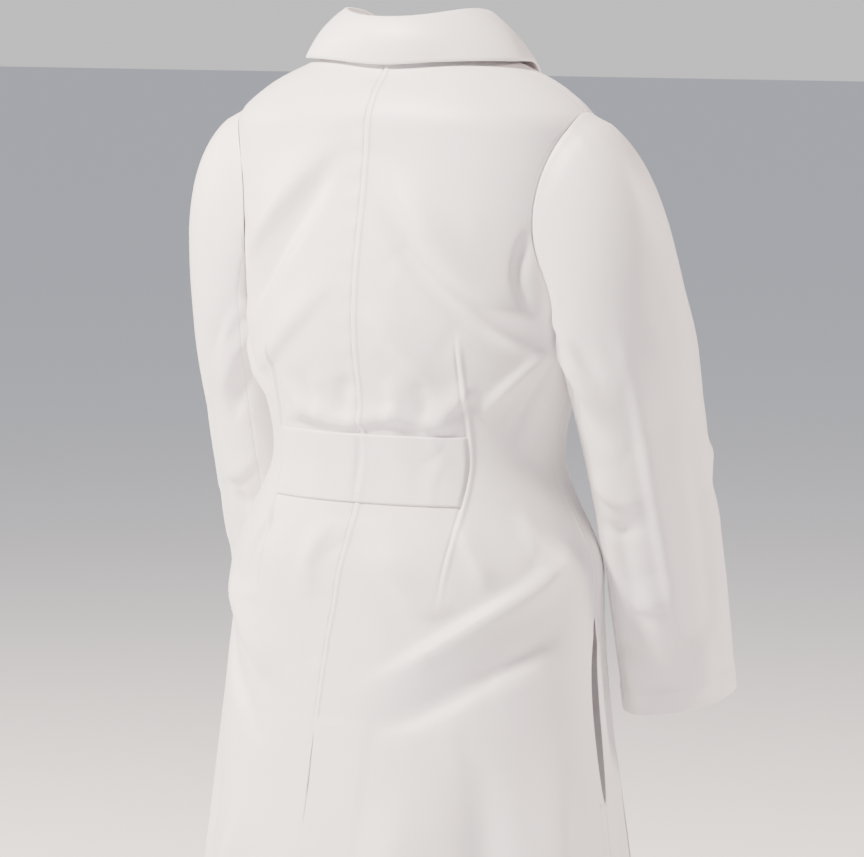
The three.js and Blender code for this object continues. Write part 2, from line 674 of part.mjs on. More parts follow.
// A dished disc with a rim, standing on the left front edge.
function button(depth) {
  const rim = 1.6;
  const half = BUTTON_THICKNESS / 2;
  const outline = [
    [0, -half], [BUTTON_RADIUS * 0.8, -half], [BUTTON_RADIUS, -half / 3], [BUTTON_RADIUS, half / 2],
    [BUTTON_RADIUS - rim / 2, half], [BUTTON_RADIUS - rim, half / 2], [0, half / 2],
  ].map(([radius, height]) => new THREE.Vector2(radius, height));
  const segments = 16;
  const lathe = new THREE.LatheGeometry(outline, segments);
  lathe.deleteAttribute('normal');
  lathe.deleteAttribute('uv');
  const angle = frontAngle(BUTTON_INSET + FRONT_GAP / 2, depth);
  const normal = torsoNormal(angle, depth);
  const disc = facingOut(mergeVertices(lathe, 1e-4));
  disc.applyQuaternion(new THREE.Quaternion().setFromUnitVectors(new THREE.Vector3(0, 1, 0), normal));
  const seat = torsoPoint(angle, depth).addScaledVector(normal, CLOTH / 2 + LAYER_GAP + half);
  disc.translate(seat.x, seat.y, seat.z);
  return disc;
}

// ---------------------------------------------------------------- neck facing, loop and label

// A crescent inside the back neck, deeper at the centre than at the shoulder seams.
function neckFacing() {
  const columns = 14;
  const rows = 4;
  const widest = SHOULDER_SEAM - 4 * Math.PI / 180;
  const grid = [];
  for (let r = 0; r <= rows; r += 1) {
    const row = [];
    for (let c = 0; c <= columns; c += 1) {
      const angle = lerp(-widest, widest, c / columns);
      const deepest = lerp(NECK_FACING_SIDE, NECK_FACING_BACK, Math.cos(angle) ** 4);
      const depth = lerp(0.6, deepest, r / rows);
      const normal = torsoNormal(angle, depth);
      row.push({ point: torsoPoint(angle, depth).addScaledVector(normal, -NECK_FACING_INSET), normal });
    }
    grid.push(row);
  }
  return closedSheet(grid, CLOTH);
}

// The inner face of the neck facing at the centre back.
function insideFacing(depth, clearance) {
  const normal = torsoNormal(0, depth);
  const inset = NECK_FACING_INSET + CLOTH / 2 + clearance;
  return { point: torsoPoint(0, depth).addScaledVector(normal, -inset), normal };
}

// A strap bent into a U, sewn at both ends and hanging straight down.
function hangerLoop() {
  const { point } = insideFacing(5, LAYER_GAP + LOOP_THICKNESS / 2 + 1.4);
  const bend = 8;
  const path = new THREE.CurvePath();
  const at = (x, z) => new THREE.Vector3(x, point.y, point.z + z);
  const inner = LOOP_HALF_WIDTH - bend;
  path.add(new THREE.LineCurve3(at(-LOOP_HALF_WIDTH, 0), at(-LOOP_HALF_WIDTH, bend - LOOP_DROP)));
  path.add(new THREE.QuadraticBezierCurve3(
    at(-LOOP_HALF_WIDTH, bend - LOOP_DROP), at(-LOOP_HALF_WIDTH, -LOOP_DROP), at(-inner, -LOOP_DROP)));
  path.add(new THREE.LineCurve3(at(-inner, -LOOP_DROP), at(inner, -LOOP_DROP)));
  path.add(new THREE.QuadraticBezierCurve3(
    at(inner, -LOOP_DROP), at(LOOP_HALF_WIDTH, -LOOP_DROP), at(LOOP_HALF_WIDTH, bend - LOOP_DROP)));
  path.add(new THREE.LineCurve3(at(LOOP_HALF_WIDTH, bend - LOOP_DROP), at(LOOP_HALF_WIDTH, 0)));
  const section = new THREE.Shape();
  section.moveTo(-LOOP_THICKNESS / 2, -LOOP_STRAP / 2);
  section.lineTo(LOOP_THICKNESS / 2, -LOOP_STRAP / 2);
  section.lineTo(LOOP_THICKNESS / 2, LOOP_STRAP / 2);
  section.lineTo(-LOOP_THICKNESS / 2, LOOP_STRAP / 2);
  section.closePath();
  const geometry = new THREE.ExtrudeGeometry(section, { steps: 28, extrudePath: path, bevelEnabled: false });
  geometry.deleteAttribute('normal');
  geometry.deleteAttribute('uv');
  return facingOut(mergeVertices(geometry, 1e-4));
}

function sizeLabel() {
  const { point, normal } = insideFacing(LABEL_DEPTH, LAYER_GAP + LABEL_THICKNESS / 2 + 0.45);
  const corners = [LABEL_DEPTH - LABEL_HEIGHT / 2, LABEL_DEPTH + LABEL_HEIGHT / 2]
    .map((depth) => torsoPoint(angleAcross(LABEL_WIDTH / 2, depth), depth));
  const bow = Math.max(...corners.map((corner) => torsoPoint(0, LABEL_DEPTH).sub(corner).dot(normal)));
  point.addScaledVector(normal, -bow);
  const box = new THREE.BoxGeometry(LABEL_WIDTH, LABEL_THICKNESS, LABEL_HEIGHT);
  box.applyQuaternion(new THREE.Quaternion().setFromUnitVectors(new THREE.Vector3(0, 1, 0), normal));
  box.translate(point.x, point.y, point.z);
  return box;
}

// ---------------------------------------------------------------- assembly

const coat = new THREE.Group();
coat.name = 'lab_coat';
const add = (name, geometry, finish) => coat.add(pieceMesh(name, geometry, finish));

for (const [word, side] of [['left', 1], ['right', -1]]) {
  add(`back_${word}`, backPanel(side), POPLIN);
  add(`side_front_${word}`, sideFront(side), POPLIN);
  add(`centre_front_${word}`, centreFront(side), POPLIN);
  add(`front_facing_${word}`, frontFacing(side), POPLIN_FACING);
  add(`front_yoke_${word}`, frontYoke(side), POPLIN);
  add(`slit_facing_${word}`, slitFacing(side), POPLIN_FACING);
  add(`upper_sleeve_${word}`, upperSleeve(side), POPLIN);
  add(`under_sleeve_${word}`, underSleeve(side), POPLIN);
  add(`lower_pocket_${word}`, patchPocket(side, LOWER_POCKET), POPLIN);
}
add('chest_pocket', patchPocket(1, CHEST_POCKET), POPLIN);
add('back_belt', backBelt(), POPLIN);
add('vent_facing', ventFacing(), POPLIN_FACING);
add('vent_underlap', ventUnderlap(), POPLIN);
add('collar_stand', collarStand(), POPLIN);
add('under_collar', collarFall(0), POPLIN_FACING);
add('top_collar', collarFall(1), POPLIN);
add('neck_facing', neckFacing(), POPLIN_FACING);
add('hanger_loop', hangerLoop(), TWILL_TAPE);
add('size_label', sizeLabel(), LABEL_SATIN);
for (let k = 0; k < BUTTON_COUNT; k += 1) {
  add(`button_${k + 1}`, button(FIRST_BUTTON + k * BUTTON_SPACING), BUTTON_PLASTIC);
}

export default coat;
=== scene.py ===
"""Knee-length lab coat with a half belt, rebuilt in cloth round its shared frame.

All sizes of the coat's own are in millimetres and are turned to metres when a mesh is made.
The wearer faces -Y, their left is +X, and depths run down from the nape seam.
"""

import logging
import math
from dataclasses import dataclass, field, replace
from enum import Enum
from typing import Optional, Sequence

import bpy
import numpy as np
from mathutils import Matrix, Vector


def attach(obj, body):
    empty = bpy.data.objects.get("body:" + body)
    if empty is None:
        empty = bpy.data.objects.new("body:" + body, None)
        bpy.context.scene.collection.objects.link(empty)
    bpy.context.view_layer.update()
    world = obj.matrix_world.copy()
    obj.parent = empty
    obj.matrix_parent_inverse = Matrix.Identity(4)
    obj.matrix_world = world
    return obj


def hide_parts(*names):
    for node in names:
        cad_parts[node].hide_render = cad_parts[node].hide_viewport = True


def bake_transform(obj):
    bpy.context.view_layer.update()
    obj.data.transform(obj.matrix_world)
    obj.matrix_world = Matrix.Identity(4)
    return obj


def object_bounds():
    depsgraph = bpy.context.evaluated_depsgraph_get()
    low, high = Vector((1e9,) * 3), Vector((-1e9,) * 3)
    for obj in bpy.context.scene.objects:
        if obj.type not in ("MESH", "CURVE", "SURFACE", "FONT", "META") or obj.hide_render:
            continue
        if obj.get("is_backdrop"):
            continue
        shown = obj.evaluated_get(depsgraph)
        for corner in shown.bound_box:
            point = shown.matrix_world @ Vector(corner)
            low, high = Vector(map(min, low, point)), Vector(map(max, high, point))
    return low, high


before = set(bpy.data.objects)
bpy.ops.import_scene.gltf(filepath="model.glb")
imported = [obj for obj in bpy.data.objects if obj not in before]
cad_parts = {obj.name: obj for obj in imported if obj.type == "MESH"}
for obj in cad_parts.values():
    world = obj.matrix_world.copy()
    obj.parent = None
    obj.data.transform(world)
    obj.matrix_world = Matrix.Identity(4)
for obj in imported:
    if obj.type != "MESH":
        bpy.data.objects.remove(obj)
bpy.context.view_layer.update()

LOG = logging.getLogger("lab_coat")
MM = 0.001
Array = np.ndarray
ROOT = "coat_body"


# ---------------------------------------------------------------- small helpers


def lerp(start: float | Array, end: float | Array, share: float | Array) -> float | Array:
    """Return the value part of the way between two others."""
    return start + (end - start) * share


def smooth(share: float | Array) -> Array:
    """Return an eased share between 0 and 1."""
    held = np.clip(share, 0.0, 1.0)
    return held * held * (3.0 - 2.0 * held)


def unit(vectors: Array) -> Array:
    """Return the vectors scaled to a length of one."""
    return vectors / np.maximum(np.linalg.norm(vectors, axis=-1, keepdims=True), 1e-12)


def steps_between(keys: Sequence[float], pitch: float) -> Array:
    """Return levels that hold every key and are no further apart than the pitch.

    Args:
        keys: Levels that must be present, in order.
        pitch: The longest step between two levels.

    Returns:
        The levels in order.
    """
    levels = [keys[0]]
    for start, end in zip(keys[:-1], keys[1:]):
        parts = max(1, math.ceil(abs(end - start) / pitch))
        levels.extend(lerp(start, end, part / parts) for part in range(1, parts + 1))
    return np.array(levels)


def curve_through(points: Sequence[Sequence[float]], count: int) -> Array:
    """Return a smooth curve through some points, evenly spaced along its length.

    Args:
        points: The points it passes through.
        count: How many points to return.

    Returns:
        An array of count points.
    """
    keys = np.asarray(points, float)
    reach = np.concatenate([[0.0], np.cumsum(np.linalg.norm(np.diff(keys, axis=0), axis=1))])
    slopes = np.gradient(keys, reach, axis=0)
    fine = np.linspace(0.0, reach[-1], 16 * len(keys))
    k = np.clip(np.searchsorted(reach, fine, side="right") - 1, 0, len(keys) - 2)
    span = (reach[k + 1] - reach[k])[:, None]
    t = (fine - reach[k])[:, None] / span
    curve = (
        keys[k] * (1 + 2 * t) * (1 - t) ** 2
        + keys[k + 1] * t * t * (3 - 2 * t)
        + slopes[k] * span * t * (1 - t) ** 2
        + slopes[k + 1] * span * t * t * (t - 1)
    )
    return even_points(curve, count)


def even_points(curve: Array, count: int) -> Array:
    """Return points spaced evenly along a polyline."""
    along = np.concatenate([[0.0], np.cumsum(np.linalg.norm(np.diff(curve, axis=0), axis=1))])
    wanted = np.linspace(0.0, along[-1], count)
    return np.stack([np.interp(wanted, along, curve[:, axis]) for axis in range(curve.shape[1])], axis=1)


# ---------------------------------------------------------------- folds in the cloth


@dataclass(frozen=True)
class Fold:
    """One fold of the cloth, a ridge or a valley along a curved path.

    Attributes:
        path: Points along the fold, as (turn in degrees, depth in mm).
        height: How far it stands out, in mm; below zero for a valley.
        width: Half of its breadth, in mm.
        lean: How much sharper its one side is, from -0.8 to 0.8.
        ends: Share of its length over which it fades in and out.
    """

    path: tuple[tuple[float, float], ...]
    height: float
    width: float
    lean: float = 0.0
    ends: float = 0.35

    def stronger(self, factor: float) -> "Fold":
        """Return the same fold, higher by a factor."""
        return replace(self, height=self.height * factor)

    def at(self, across: Array, down: Array, spread: float) -> Array:
        """Return the fold's height at places on the cloth.

        Args:
            across: Turns of the places, in degrees.
            down: Depths of the places, in mm.
            spread: Length of one degree of turn, in mm.

        Returns:
            Heights in mm.
        """
        result = np.zeros(np.broadcast(across, down).shape)
        count = max(6, 4 * len(self.path))
        keys = np.array([[turn * spread, depth] for turn, depth in self.path])
        curve = curve_through(keys, count)
        x = across * spread + np.zeros_like(result)
        y = down + np.zeros_like(result)
        reach = 3.0 * self.width
        low, high = curve.min(axis=0) - reach, curve.max(axis=0) + reach
        near = (x > low[0]) & (x < high[0]) & (y > low[1]) & (y < high[1])
        if not near.any():
            return result
        px, py = x[near], y[near]
        best = np.full(px.shape, 1e9)
        signed = np.zeros(px.shape)
        along = np.zeros(px.shape)
        for k in range(count - 1):
            a, d = curve[k], curve[k + 1] - curve[k]
            t = np.clip(((px - a[0]) * d[0] + (py - a[1]) * d[1]) / (d @ d), 0.0, 1.0)
            ox, oy = px - a[0] - t * d[0], py - a[1] - t * d[1]
            away = np.hypot(ox, oy)
            closer = away < best
            best = np.where(closer, away, best)
            side = np.sign(d[0] * oy - d[1] * ox)
            signed = np.where(closer, side * away, signed)
            along = np.where(closer, (k + t) / (count - 1), along)
        breadth = self.width * (1.0 + self.lean * np.tanh(signed / self.width))
        fade = smooth(along / self.ends) * smooth((1.0 - along) / self.ends)
        result[near] = self.height * fade * np.exp(-((best / breadth) ** 2))
        return result


@dataclass
class Drape:
    """The folds of one piece of cloth, added together.

    Attributes:
        folds: The folds that were placed one by one.
        spread: Length of one degree of turn, in mm.
        crumples: How many small soft creases are scattered between them.
        seed: Starts the scatter, so that it is the same each time.
        turns: Range of turns over which they are scattered, in degrees.
        depths: Range of depths over which they are scattered, in mm.
        grain: Direction that the small creases keep to, in degrees from level.
        strength: Greatest height of a small crease, in mm.
    """

    folds: list[Fold]
    spread: float
    crumples: int = 0
    seed: int = 1
    turns: tuple[float, float] = (-180.0, 180.0)
    depths: tuple[float, float] = (0.0, 970.0)
    grain: float = 60.0
    strength: float = 1.0

    def __post_init__(self) -> None:
        """Scatter the small creases."""
        rng = np.random.default_rng(self.seed)
        for _ in range(self.crumples):
            middle = np.array([rng.uniform(*self.turns) * self.spread, rng.uniform(*self.depths)])
            angle = math.radians(self.grain * rng.choice([-1, 1]) + rng.normal(0, 22))
            half = rng.uniform(14, 48)
            way = np.array([math.cos(angle), math.sin(angle)])
            bend = np.array([-way[1], way[0]]) * rng.uniform(-0.3, 0.3) * half
            points = [middle - way * half, middle + bend, middle + way * half]
            path = tuple((float(p[0] / self.spread), float(p[1])) for p in points)
            height = rng.uniform(0.35, 1.0) * self.strength * rng.choice([-1, 1])
            self.folds.append(Fold(path, height, rng.uniform(5, 11), rng.uniform(-0.5, 0.5), 0.45))

    def at(self, turn: Array, down: Array) -> Array:
        """Return how far the folds stand out of the smooth shape.

        Args:
            turn: Turns of the places, in degrees.
            down: Depths of the places, in mm.

        Returns:
            Heights in mm.
        """
        total = np.zeros(np.broadcast(turn, down).shape)
        for fold in self.folds:
            total += fold.at(turn, down, self.spread)
        return total


# ---------------------------------------------------------------- the body's shape


@dataclass(frozen=True)
class Profile:
    """A smooth size against depth that never overshoots its keys."""

    keys: tuple[tuple[float, float], ...]

    def __call__(self, depth: float | Array) -> Array:
        """Return the size at a depth, rounded off where the shoulders turn over."""
        depth = np.asarray(depth, float)
        reach = 17.0 * smooth(depth / 36) * (1 - smooth((depth - 60) / 90))
        return sum(self.exact(depth + reach * step) for step in (-1.0, -0.5, 0.0, 0.5, 1.0)) / 5

    def exact(self, depth: float | Array) -> Array:
        """Return the size at a depth."""
        at, value = np.array(self.keys).T
        slopes = np.diff(value) / np.diff(at)
        tangents = np.empty_like(value)
        tangents[0], tangents[-1] = slopes[0], slopes[-1]
        product = slopes[:-1] * slopes[1:]
        total = np.where(product > 0, slopes[:-1] + slopes[1:], 1.0)
        tangents[1:-1] = np.where(product > 0, 2 * product / total, 0.0)
        depth = np.asarray(depth, float)
        k = np.clip(np.searchsorted(at, depth, side="left") - 1, 0, len(at) - 2)
        span = at[k + 1] - at[k]
        t = np.clip((depth - at[k]) / span, 0.0, 1.0)
        return (
            value[k] * (1 + 2 * t) * (1 - t) ** 2
            + value[k + 1] * t * t * (3 - 2 * t)
            + tangents[k] * span * t * (1 - t) ** 2
            + tangents[k + 1] * span * t * t * (t - 1)
        )


@dataclass
class Torso:
    """The smooth surface that the coat's body is laid on, and its folds.

    Turn 0 is the centre back, 90 degrees the wearer's left and 180 degrees the centre front.
    """

    length: float = 970.0
    nape_back: float = 60.0
    neck_half: float = 78.0
    neck_rise: float = 14.0
    front_neck: float = 88.0
    shoulder: float = 48.0
    armhole_foot: float = 240.0
    armhole_spread: float = math.radians(34.0)
    armhole_steps: int = 12
    yoke_step: int = 5
    side_seam: float = math.radians(97.0)
    shoulder_seam: float = math.radians(90.0)
    roundness: float = 0.9
    twist: float = math.radians(7.0)
    twist_from: float = 385.0
    twist_to: float = 640.0
    half: Profile = Profile(((0, 78), (48, 200), (250, 182), (385, 153), (505, 200), (970, 238)))
    back: Profile = Profile(((0, 60), (48, 96), (250, 122), (385, 104), (505, 128), (970, 192)))
    front: Profile = Profile(((0, 62), (48, 76), (250, 126), (385, 112), (505, 122), (970, 165)))
    belt_top: float = 362.0
    belt_height: float = 66.0
    dart_offset: float = 107.0
    vent_top: float = 640.0
    vent_width: float = 56.0
    slit_top: float = 540.0
    slit_length: float = 185.0
    seam_groove: float = 1.3
    seam_ridge: float = 0.9
    seam_ridge_width: float = 6.2
    pucker_pitch: float = 27.0
    dart_top: float = 257.0
    dart_foot: float = 540.0
    vent_swing: float = 9.0
    drape: Optional[Drape] = None

    def sewing(self, angle: Array, depth: Array) -> Array:
        """Return the relief of the seams, darts and vent edge, in mm.

        Args:
            angle: Turns in radians.
            depth: Depths in mm.

        Returns:
            Heights over the cloth round them.
        """
        across = self.half(depth) * np.abs(np.sin(angle)) ** self.roundness
        on_back = smooth(np.cos(angle) * 12)
        left = (angle > 0).astype(float)
        right = 1.0 - left
        closed = 1 - smooth((depth - self.vent_top + 4) / 8)
        lift = -self.seam_groove * np.exp(-((across / self.seam_groove) ** 2)) * closed
        beyond = 1 - smooth((across - self.seam_ridge_width) / 1.2)
        lift = lift + right * closed * self.seam_ridge * smooth(across / self.seam_ridge) * beyond
        beat = np.cos(2 * math.pi * depth / self.pucker_pitch + 1.3 * np.sin(depth / 61))
        above_foot = smooth((self.belt_top + self.belt_height + 8 - depth) / 8)
        free = 1 - smooth((depth - self.belt_top + 8) / 8) * above_foot
        pucker = (left * 1.0 + right * 0.3) * np.sign(beat) * np.abs(beat) ** 1.6
        lift = lift + pucker * np.exp(-across / 12) * free * (0.4 + 0.6 * closed)
        from_dart = across - self.dart_offset
        sewn = smooth((depth - self.dart_top) / 30) * smooth((self.dart_foot - depth) / 70)
        dart_fold = 1.9 * np.exp(-(((from_dart - 3.6) / 2.4) ** 2))
        dart_line = 1.6 * np.exp(-((from_dart / 1.4) ** 2))
        lift = lift + sewn * (dart_fold - dart_line)
        opening = smooth((depth - self.vent_top) / 330)
        held = smooth((depth - self.vent_top) / 6)
        doubled = held * 1.3 * (1 - smooth((across - self.vent_width) / 2.6))
        lift = lift + right * (self.vent_swing * opening * np.exp(-across / 34) + held * 0.3 + doubled)
        lift = lift - left * 4.0 * opening * np.exp(-across / 40)
        lift = lift * on_back
        from_side = (np.abs(angle) - self.side_seam) * self.front(depth)
        joined = smooth((depth - self.armhole_foot) / 4)
        in_slit = smooth((depth - self.slit_top) / 4) * smooth((self.slit_top + self.slit_length - depth) / 4)
        felled = smooth((from_side + 7.4) / 1.2) * (1 - smooth(from_side / 0.8 + 1))
        side = 0.5 * felled - 0.8 * np.exp(-((from_side / 1.2) ** 2))
        return lift + joined * (1 - in_slit) * side

    @property
    def yoke_depth(self) -> float:
        """Depth of the front yoke's seam, in mm."""
        return float(self.armhole_depth(math.pi * self.yoke_step / self.armhole_steps))

    def smooth_point(self, angle: Array, depth: Array) -> Array:
        """Return points on the surface without its folds, in mm."""
        angle, depth = np.broadcast_arrays(np.asarray(angle, float), np.asarray(depth, float))
        turned = angle + self.twist * smooth((depth - self.twist_from) / (self.twist_to - self.twist_from))
        side, back = np.sin(turned), np.cos(turned)
        reach = np.where(back >= 0, self.back(depth), self.front(depth))
        rise = self.neck_rise * (1 - smooth(depth / self.shoulder)) * side**2
        return np.stack(
            [
                self.half(depth) * np.sign(side) * np.abs(side) ** self.roundness,
                reach * np.sign(back) * np.abs(back) ** self.roundness,
                rise - depth,
            ],
            axis=-1,
        )

    def smooth_normal(self, angle: Array, depth: Array) -> Array:
        """Return outward directions of the surface without its folds."""
        below = np.maximum(depth, 0.5)
        across = self.smooth_point(angle + 0.004, below) - self.smooth_point(angle - 0.004, below)
        down = self.smooth_point(angle, below + 0.5) - self.smooth_point(angle, below - 0.5)
        return unit(np.cross(across, down))

    def folded(self, angle: Array, depth: Array) -> Array:
        """Return points on the surface with its folds, in mm."""
        angle, depth = np.broadcast_arrays(np.asarray(angle, float), np.asarray(depth, float))
        point = self.smooth_point(angle, depth)
        lift = self.sewing(angle, depth)
        if self.drape is not None:
            lift = lift + self.drape.at(np.degrees(angle), depth)
        return point + self.smooth_normal(angle, depth) * lift[..., None]

    def place(self, angle: Array, depth: Array, stand: float | Array = 0.0) -> tuple[Array, Array]:
        """Return points standing off the folded surface, and its outward directions.

        Args:
            angle: Turns in radians.
            depth: Depths in mm.
            stand: Distance off the surface, in mm.

        Returns:
            The points and the unit directions.
        """
        angle, depth = np.broadcast_arrays(np.asarray(angle, float), np.asarray(depth, float))
        below = np.maximum(depth, 1.2)
        across = self.folded(angle + 0.006, below) - self.folded(angle - 0.006, below)
        down = self.folded(angle, below + 1.0) - self.folded(angle, below - 1.0)
        normal = unit(np.cross(across, down))
        return self.folded(angle, depth) + normal * np.asarray(stand)[..., None], normal

    def across(self, distance: float | Array, depth: Array) -> Array:
        """Return the turn from the centre back that is a plan distance across."""
        share = np.clip(distance / self.half(depth), 0.0, 1.0)
        return np.arcsin(share ** (1 / self.roundness))

    def from_front(self, distance: float | Array, depth: Array) -> Array:
        """Return the turn that is a plan distance across from the centre front."""
        return math.pi - self.across(distance, depth)

    def along_side(self, distance: float | Array, depth: Array) -> Array:
        """Return the change of turn near the side for a distance round the body."""
        return distance / self.front(depth)

    def armhole_depth(self, turn: Array) -> Array:
        """Return the depth of the armhole's edge: turn 0 is the shoulder tip."""
        return lerp(self.shoulder, self.armhole_foot, (1 - np.cos(turn)) / 2)

    def armhole_angle(self, turn: Array) -> Array:
        """Return the turn round the body of the armhole's edge."""
        middle = lerp(self.shoulder_seam, self.side_seam, (1 - np.cos(turn)) / 2)
        return middle - self.armhole_spread * np.sin(turn)

    def turn_at(self, depth: Array) -> Array:
        """Return where the armhole's edge passes a depth."""
        share = np.clip((depth - self.shoulder) / (self.armhole_foot - self.shoulder), 0.0, 1.0)
        return np.arccos(1 - 2 * share)

    def under(self, x: float, y: float) -> tuple[float, float]:
        """Return the turn and depth of the surface below a plan place near the neck."""
        power = 2 / self.roundness
        low, high = 0.0, self.armhole_foot
        for _ in range(40):
            depth = (low + high) / 2
            reach = self.back(depth) if y >= 0 else self.front(depth)
            inside = abs(x / self.half(depth)) ** power + abs(y / reach) ** power < 1
            low, high = (low, depth) if inside else (depth, high)
        turn = float(self.across(abs(x), low))
        return (turn if y >= 0 else math.pi - turn), low


# ---------------------------------------------------------------- finishes


def linear(code: str) -> tuple[float, float, float, float]:
    """Return an sRGB hex colour as linear values."""
    channels = [int(code[k : k + 2], 16) / 255 for k in (1, 3, 5)]
    return (*[c / 12.92 if c <= 0.04045 else ((c + 0.055) / 1.055) ** 2.4 for c in channels], 1.0)


def add_node(
    material: bpy.types.Material,
    kind: str,
    inputs: Optional[dict] = None,
    **settings,
) -> bpy.types.Node:
    """Add a node to a material.

    Args:
        material: The material it goes in.
        kind: The node's type.
        inputs: Values or output sockets for its inputs, by name or number.
        **settings: Its own settings.

    Returns:
        The new node.
    """
    node = material.node_tree.nodes.new(kind)
    for name, value in settings.items():
        setattr(node, name, value)
    for name, value in (inputs or {}).items():
        if isinstance(value, bpy.types.NodeSocket):
            material.node_tree.links.new(value, node.inputs[name])
        else:
            node.inputs[name].default_value = value
    return node


@dataclass(frozen=True)
class ClothFinish:
    """A woven cloth whose threads, tone and soft sheen vary a little.

    Attributes:
        name: Name of the real material.
        light: Colour of its fuller places.
        dark: Colour of its thinner places.
        roughness: How dull it is.
        sheen: Strength of the fibres' sheen.
        thread: Distance between threads, in mm.
        relief: Depth of the weave in the shading.
    """

    name: str
    light: str
    dark: str
    roughness: float
    sheen: float
    thread: float
    relief: float

    def build(self) -> bpy.types.Material:
        """Return the material."""
        made = bpy.data.materials.new(self.name)
        made.use_nodes = True
        made.node_tree.nodes.clear()
        shader = add_node(
            made, "ShaderNodeBsdfPrincipled", {"Sheen Weight": self.sheen, "Sheen Roughness": 0.45}
        )
        output = add_node(made, "ShaderNodeOutputMaterial")
        made.node_tree.links.new(shader.outputs["BSDF"], output.inputs["Surface"])
        cloth = add_node(made, "ShaderNodeUVMap", uv_map="cloth_mm")
        split = add_node(made, "ShaderNodeSeparateXYZ", {0: cloth.outputs["UV"]})
        turns = 2 * math.pi / self.thread
        waves = []
        for axis in ("X", "Y"):
            scaled = add_node(
                made, "ShaderNodeMath", {0: split.outputs[axis], 1: turns}, operation="MULTIPLY"
            )
            waves.append(add_node(made, "ShaderNodeMath", {0: scaled.outputs[0]}, operation="SINE"))
        weave = add_node(
            made, "ShaderNodeMath", {0: waves[0].outputs[0], 1: waves[1].outputs[0]}, operation="MULTIPLY"
        )
        place = add_node(made, "ShaderNodeTexCoord")
        slub = add_node(
            made, "ShaderNodeTexNoise", {"Vector": place.outputs["Object"], "Scale": 420.0, "Detail": 3.0}
        )
        cloudy = add_node(
            made, "ShaderNodeTexNoise", {"Vector": place.outputs["Object"], "Scale": 9.0, "Detail": 4.0}
        )
        height = add_node(
            made, "ShaderNodeMath", {0: weave.outputs[0], 1: slub.outputs["Fac"]}, operation="ADD"
        )
        bump = add_node(
            made, "ShaderNodeBump", {
                "Strength": self.relief, "Distance": 0.00025, "Height": height.outputs[0]
            }
        )
        tone = add_node(
            made, "ShaderNodeMix", {
                0: cloudy.outputs["Fac"], 6: linear(self.dark), 7: linear(self.light)
            }, data_type="RGBA"
        )
        fibre = add_node(
            made,
            "ShaderNodeMapRange",
            {"Value": slub.outputs["Fac"], "To Min": self.roughness - 0.06, "To Max": self.roughness + 0.06},
        )
        made.node_tree.links.new(tone.outputs[2], shader.inputs["Base Color"])
        made.node_tree.links.new(fibre.outputs["Result"], shader.inputs["Roughness"])
        made.node_tree.links.new(bump.outputs["Normal"], shader.inputs["Normal"])
        return made


@dataclass(frozen=True)
class PlasticFinish:
    """A moulded plastic with faint clouding."""

    name: str
    light: str
    dark: str
    roughness: float

    def build(self) -> bpy.types.Material:
        """Return the material."""
        made = bpy.data.materials.new(self.name)
        made.use_nodes = True
        made.node_tree.nodes.clear()
        shader = add_node(made, "ShaderNodeBsdfPrincipled", {"Coat Weight": 0.2, "Coat Roughness": 0.1})
        output = add_node(made, "ShaderNodeOutputMaterial")
        made.node_tree.links.new(shader.outputs["BSDF"], output.inputs["Surface"])
        place = add_node(made, "ShaderNodeTexCoord")
        cloudy = add_node(
            made, "ShaderNodeTexNoise", {"Vector": place.outputs["Object"], "Scale": 160.0, "Detail": 3.0}
        )
        tone = add_node(
            made, "ShaderNodeMix", {
                0: cloudy.outputs["Fac"], 6: linear(self.dark), 7: linear(self.light)
            }, data_type="RGBA"
        )
        dull = add_node(
            made,
            "ShaderNodeMapRange",
            {
                "Value": cloudy.outputs["Fac"],
                "To Min": self.roughness - 0.05,
                "To Max": self.roughness + 0.08,
            },
        )
        made.node_tree.links.new(tone.outputs[2], shader.inputs["Base Color"])
        made.node_tree.links.new(dull.outputs["Result"], shader.inputs["Roughness"])
        return made


class Finish(Enum):
    """The materials of the coat."""

    # The face of the coat's cloth; its threads are drawn at three times their real pitch.
    POPLIN = ClothFinish("poly-cotton poplin", "#F2EEEC", "#E2DFE6", 0.46, 0.25, 1.1, 0.10)
    # The same cloth seen from its inner side.
    POPLIN_INNER = ClothFinish("poly-cotton poplin, inner side", "#EEEBEC", "#E2E0E4", 0.6, 0.15, 1.1, 0.12)
    # Spun polyester sewing thread, a little brighter and shinier than the cloth.
    THREAD = ClothFinish("spun polyester sewing thread", "#FBFAF8", "#F0EEEF", 0.42, 0.1, 0.5, 0.2)
    # Cotton twill tape of the hanger loop.
    TAPE = ClothFinish("cotton twill tape", "#F2EFEC", "#E4E1E0", 0.7, 0.2, 0.9, 0.5)
    # Polyester satin of the blank label.
    LABEL = ClothFinish("polyester satin ribbon", "#FCFBF8", "#F1F0EE", 0.34, 0.1, 0.6, 0.15)
    # Pearly moulded button plastic.
    BUTTON = PlasticFinish("moulded polyester button plastic", "#F7F5F0", "#E6E3DE", 0.24)


# ---------------------------------------------------------------- making pieces


@dataclass(frozen=True)
class Motion:
    """What a piece moves with: one body, or a bend between two, which is not made."""

    body: str
    other: Optional[str] = None
    start: tuple[float, float, float] = (0.0, 0.0, 0.0)
    end: tuple[float, float, float] = (0.0, 0.0, 0.0)

    def give(self, piece: bpy.types.Object) -> None:
        """Attach the piece to its body; for a bend, only bake its place into its mesh."""
        if self.other is None:
            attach(piece, self.body)
        else:
            Vector(self.start) * MM
            Vector(self.end) * MM
            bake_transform(piece)


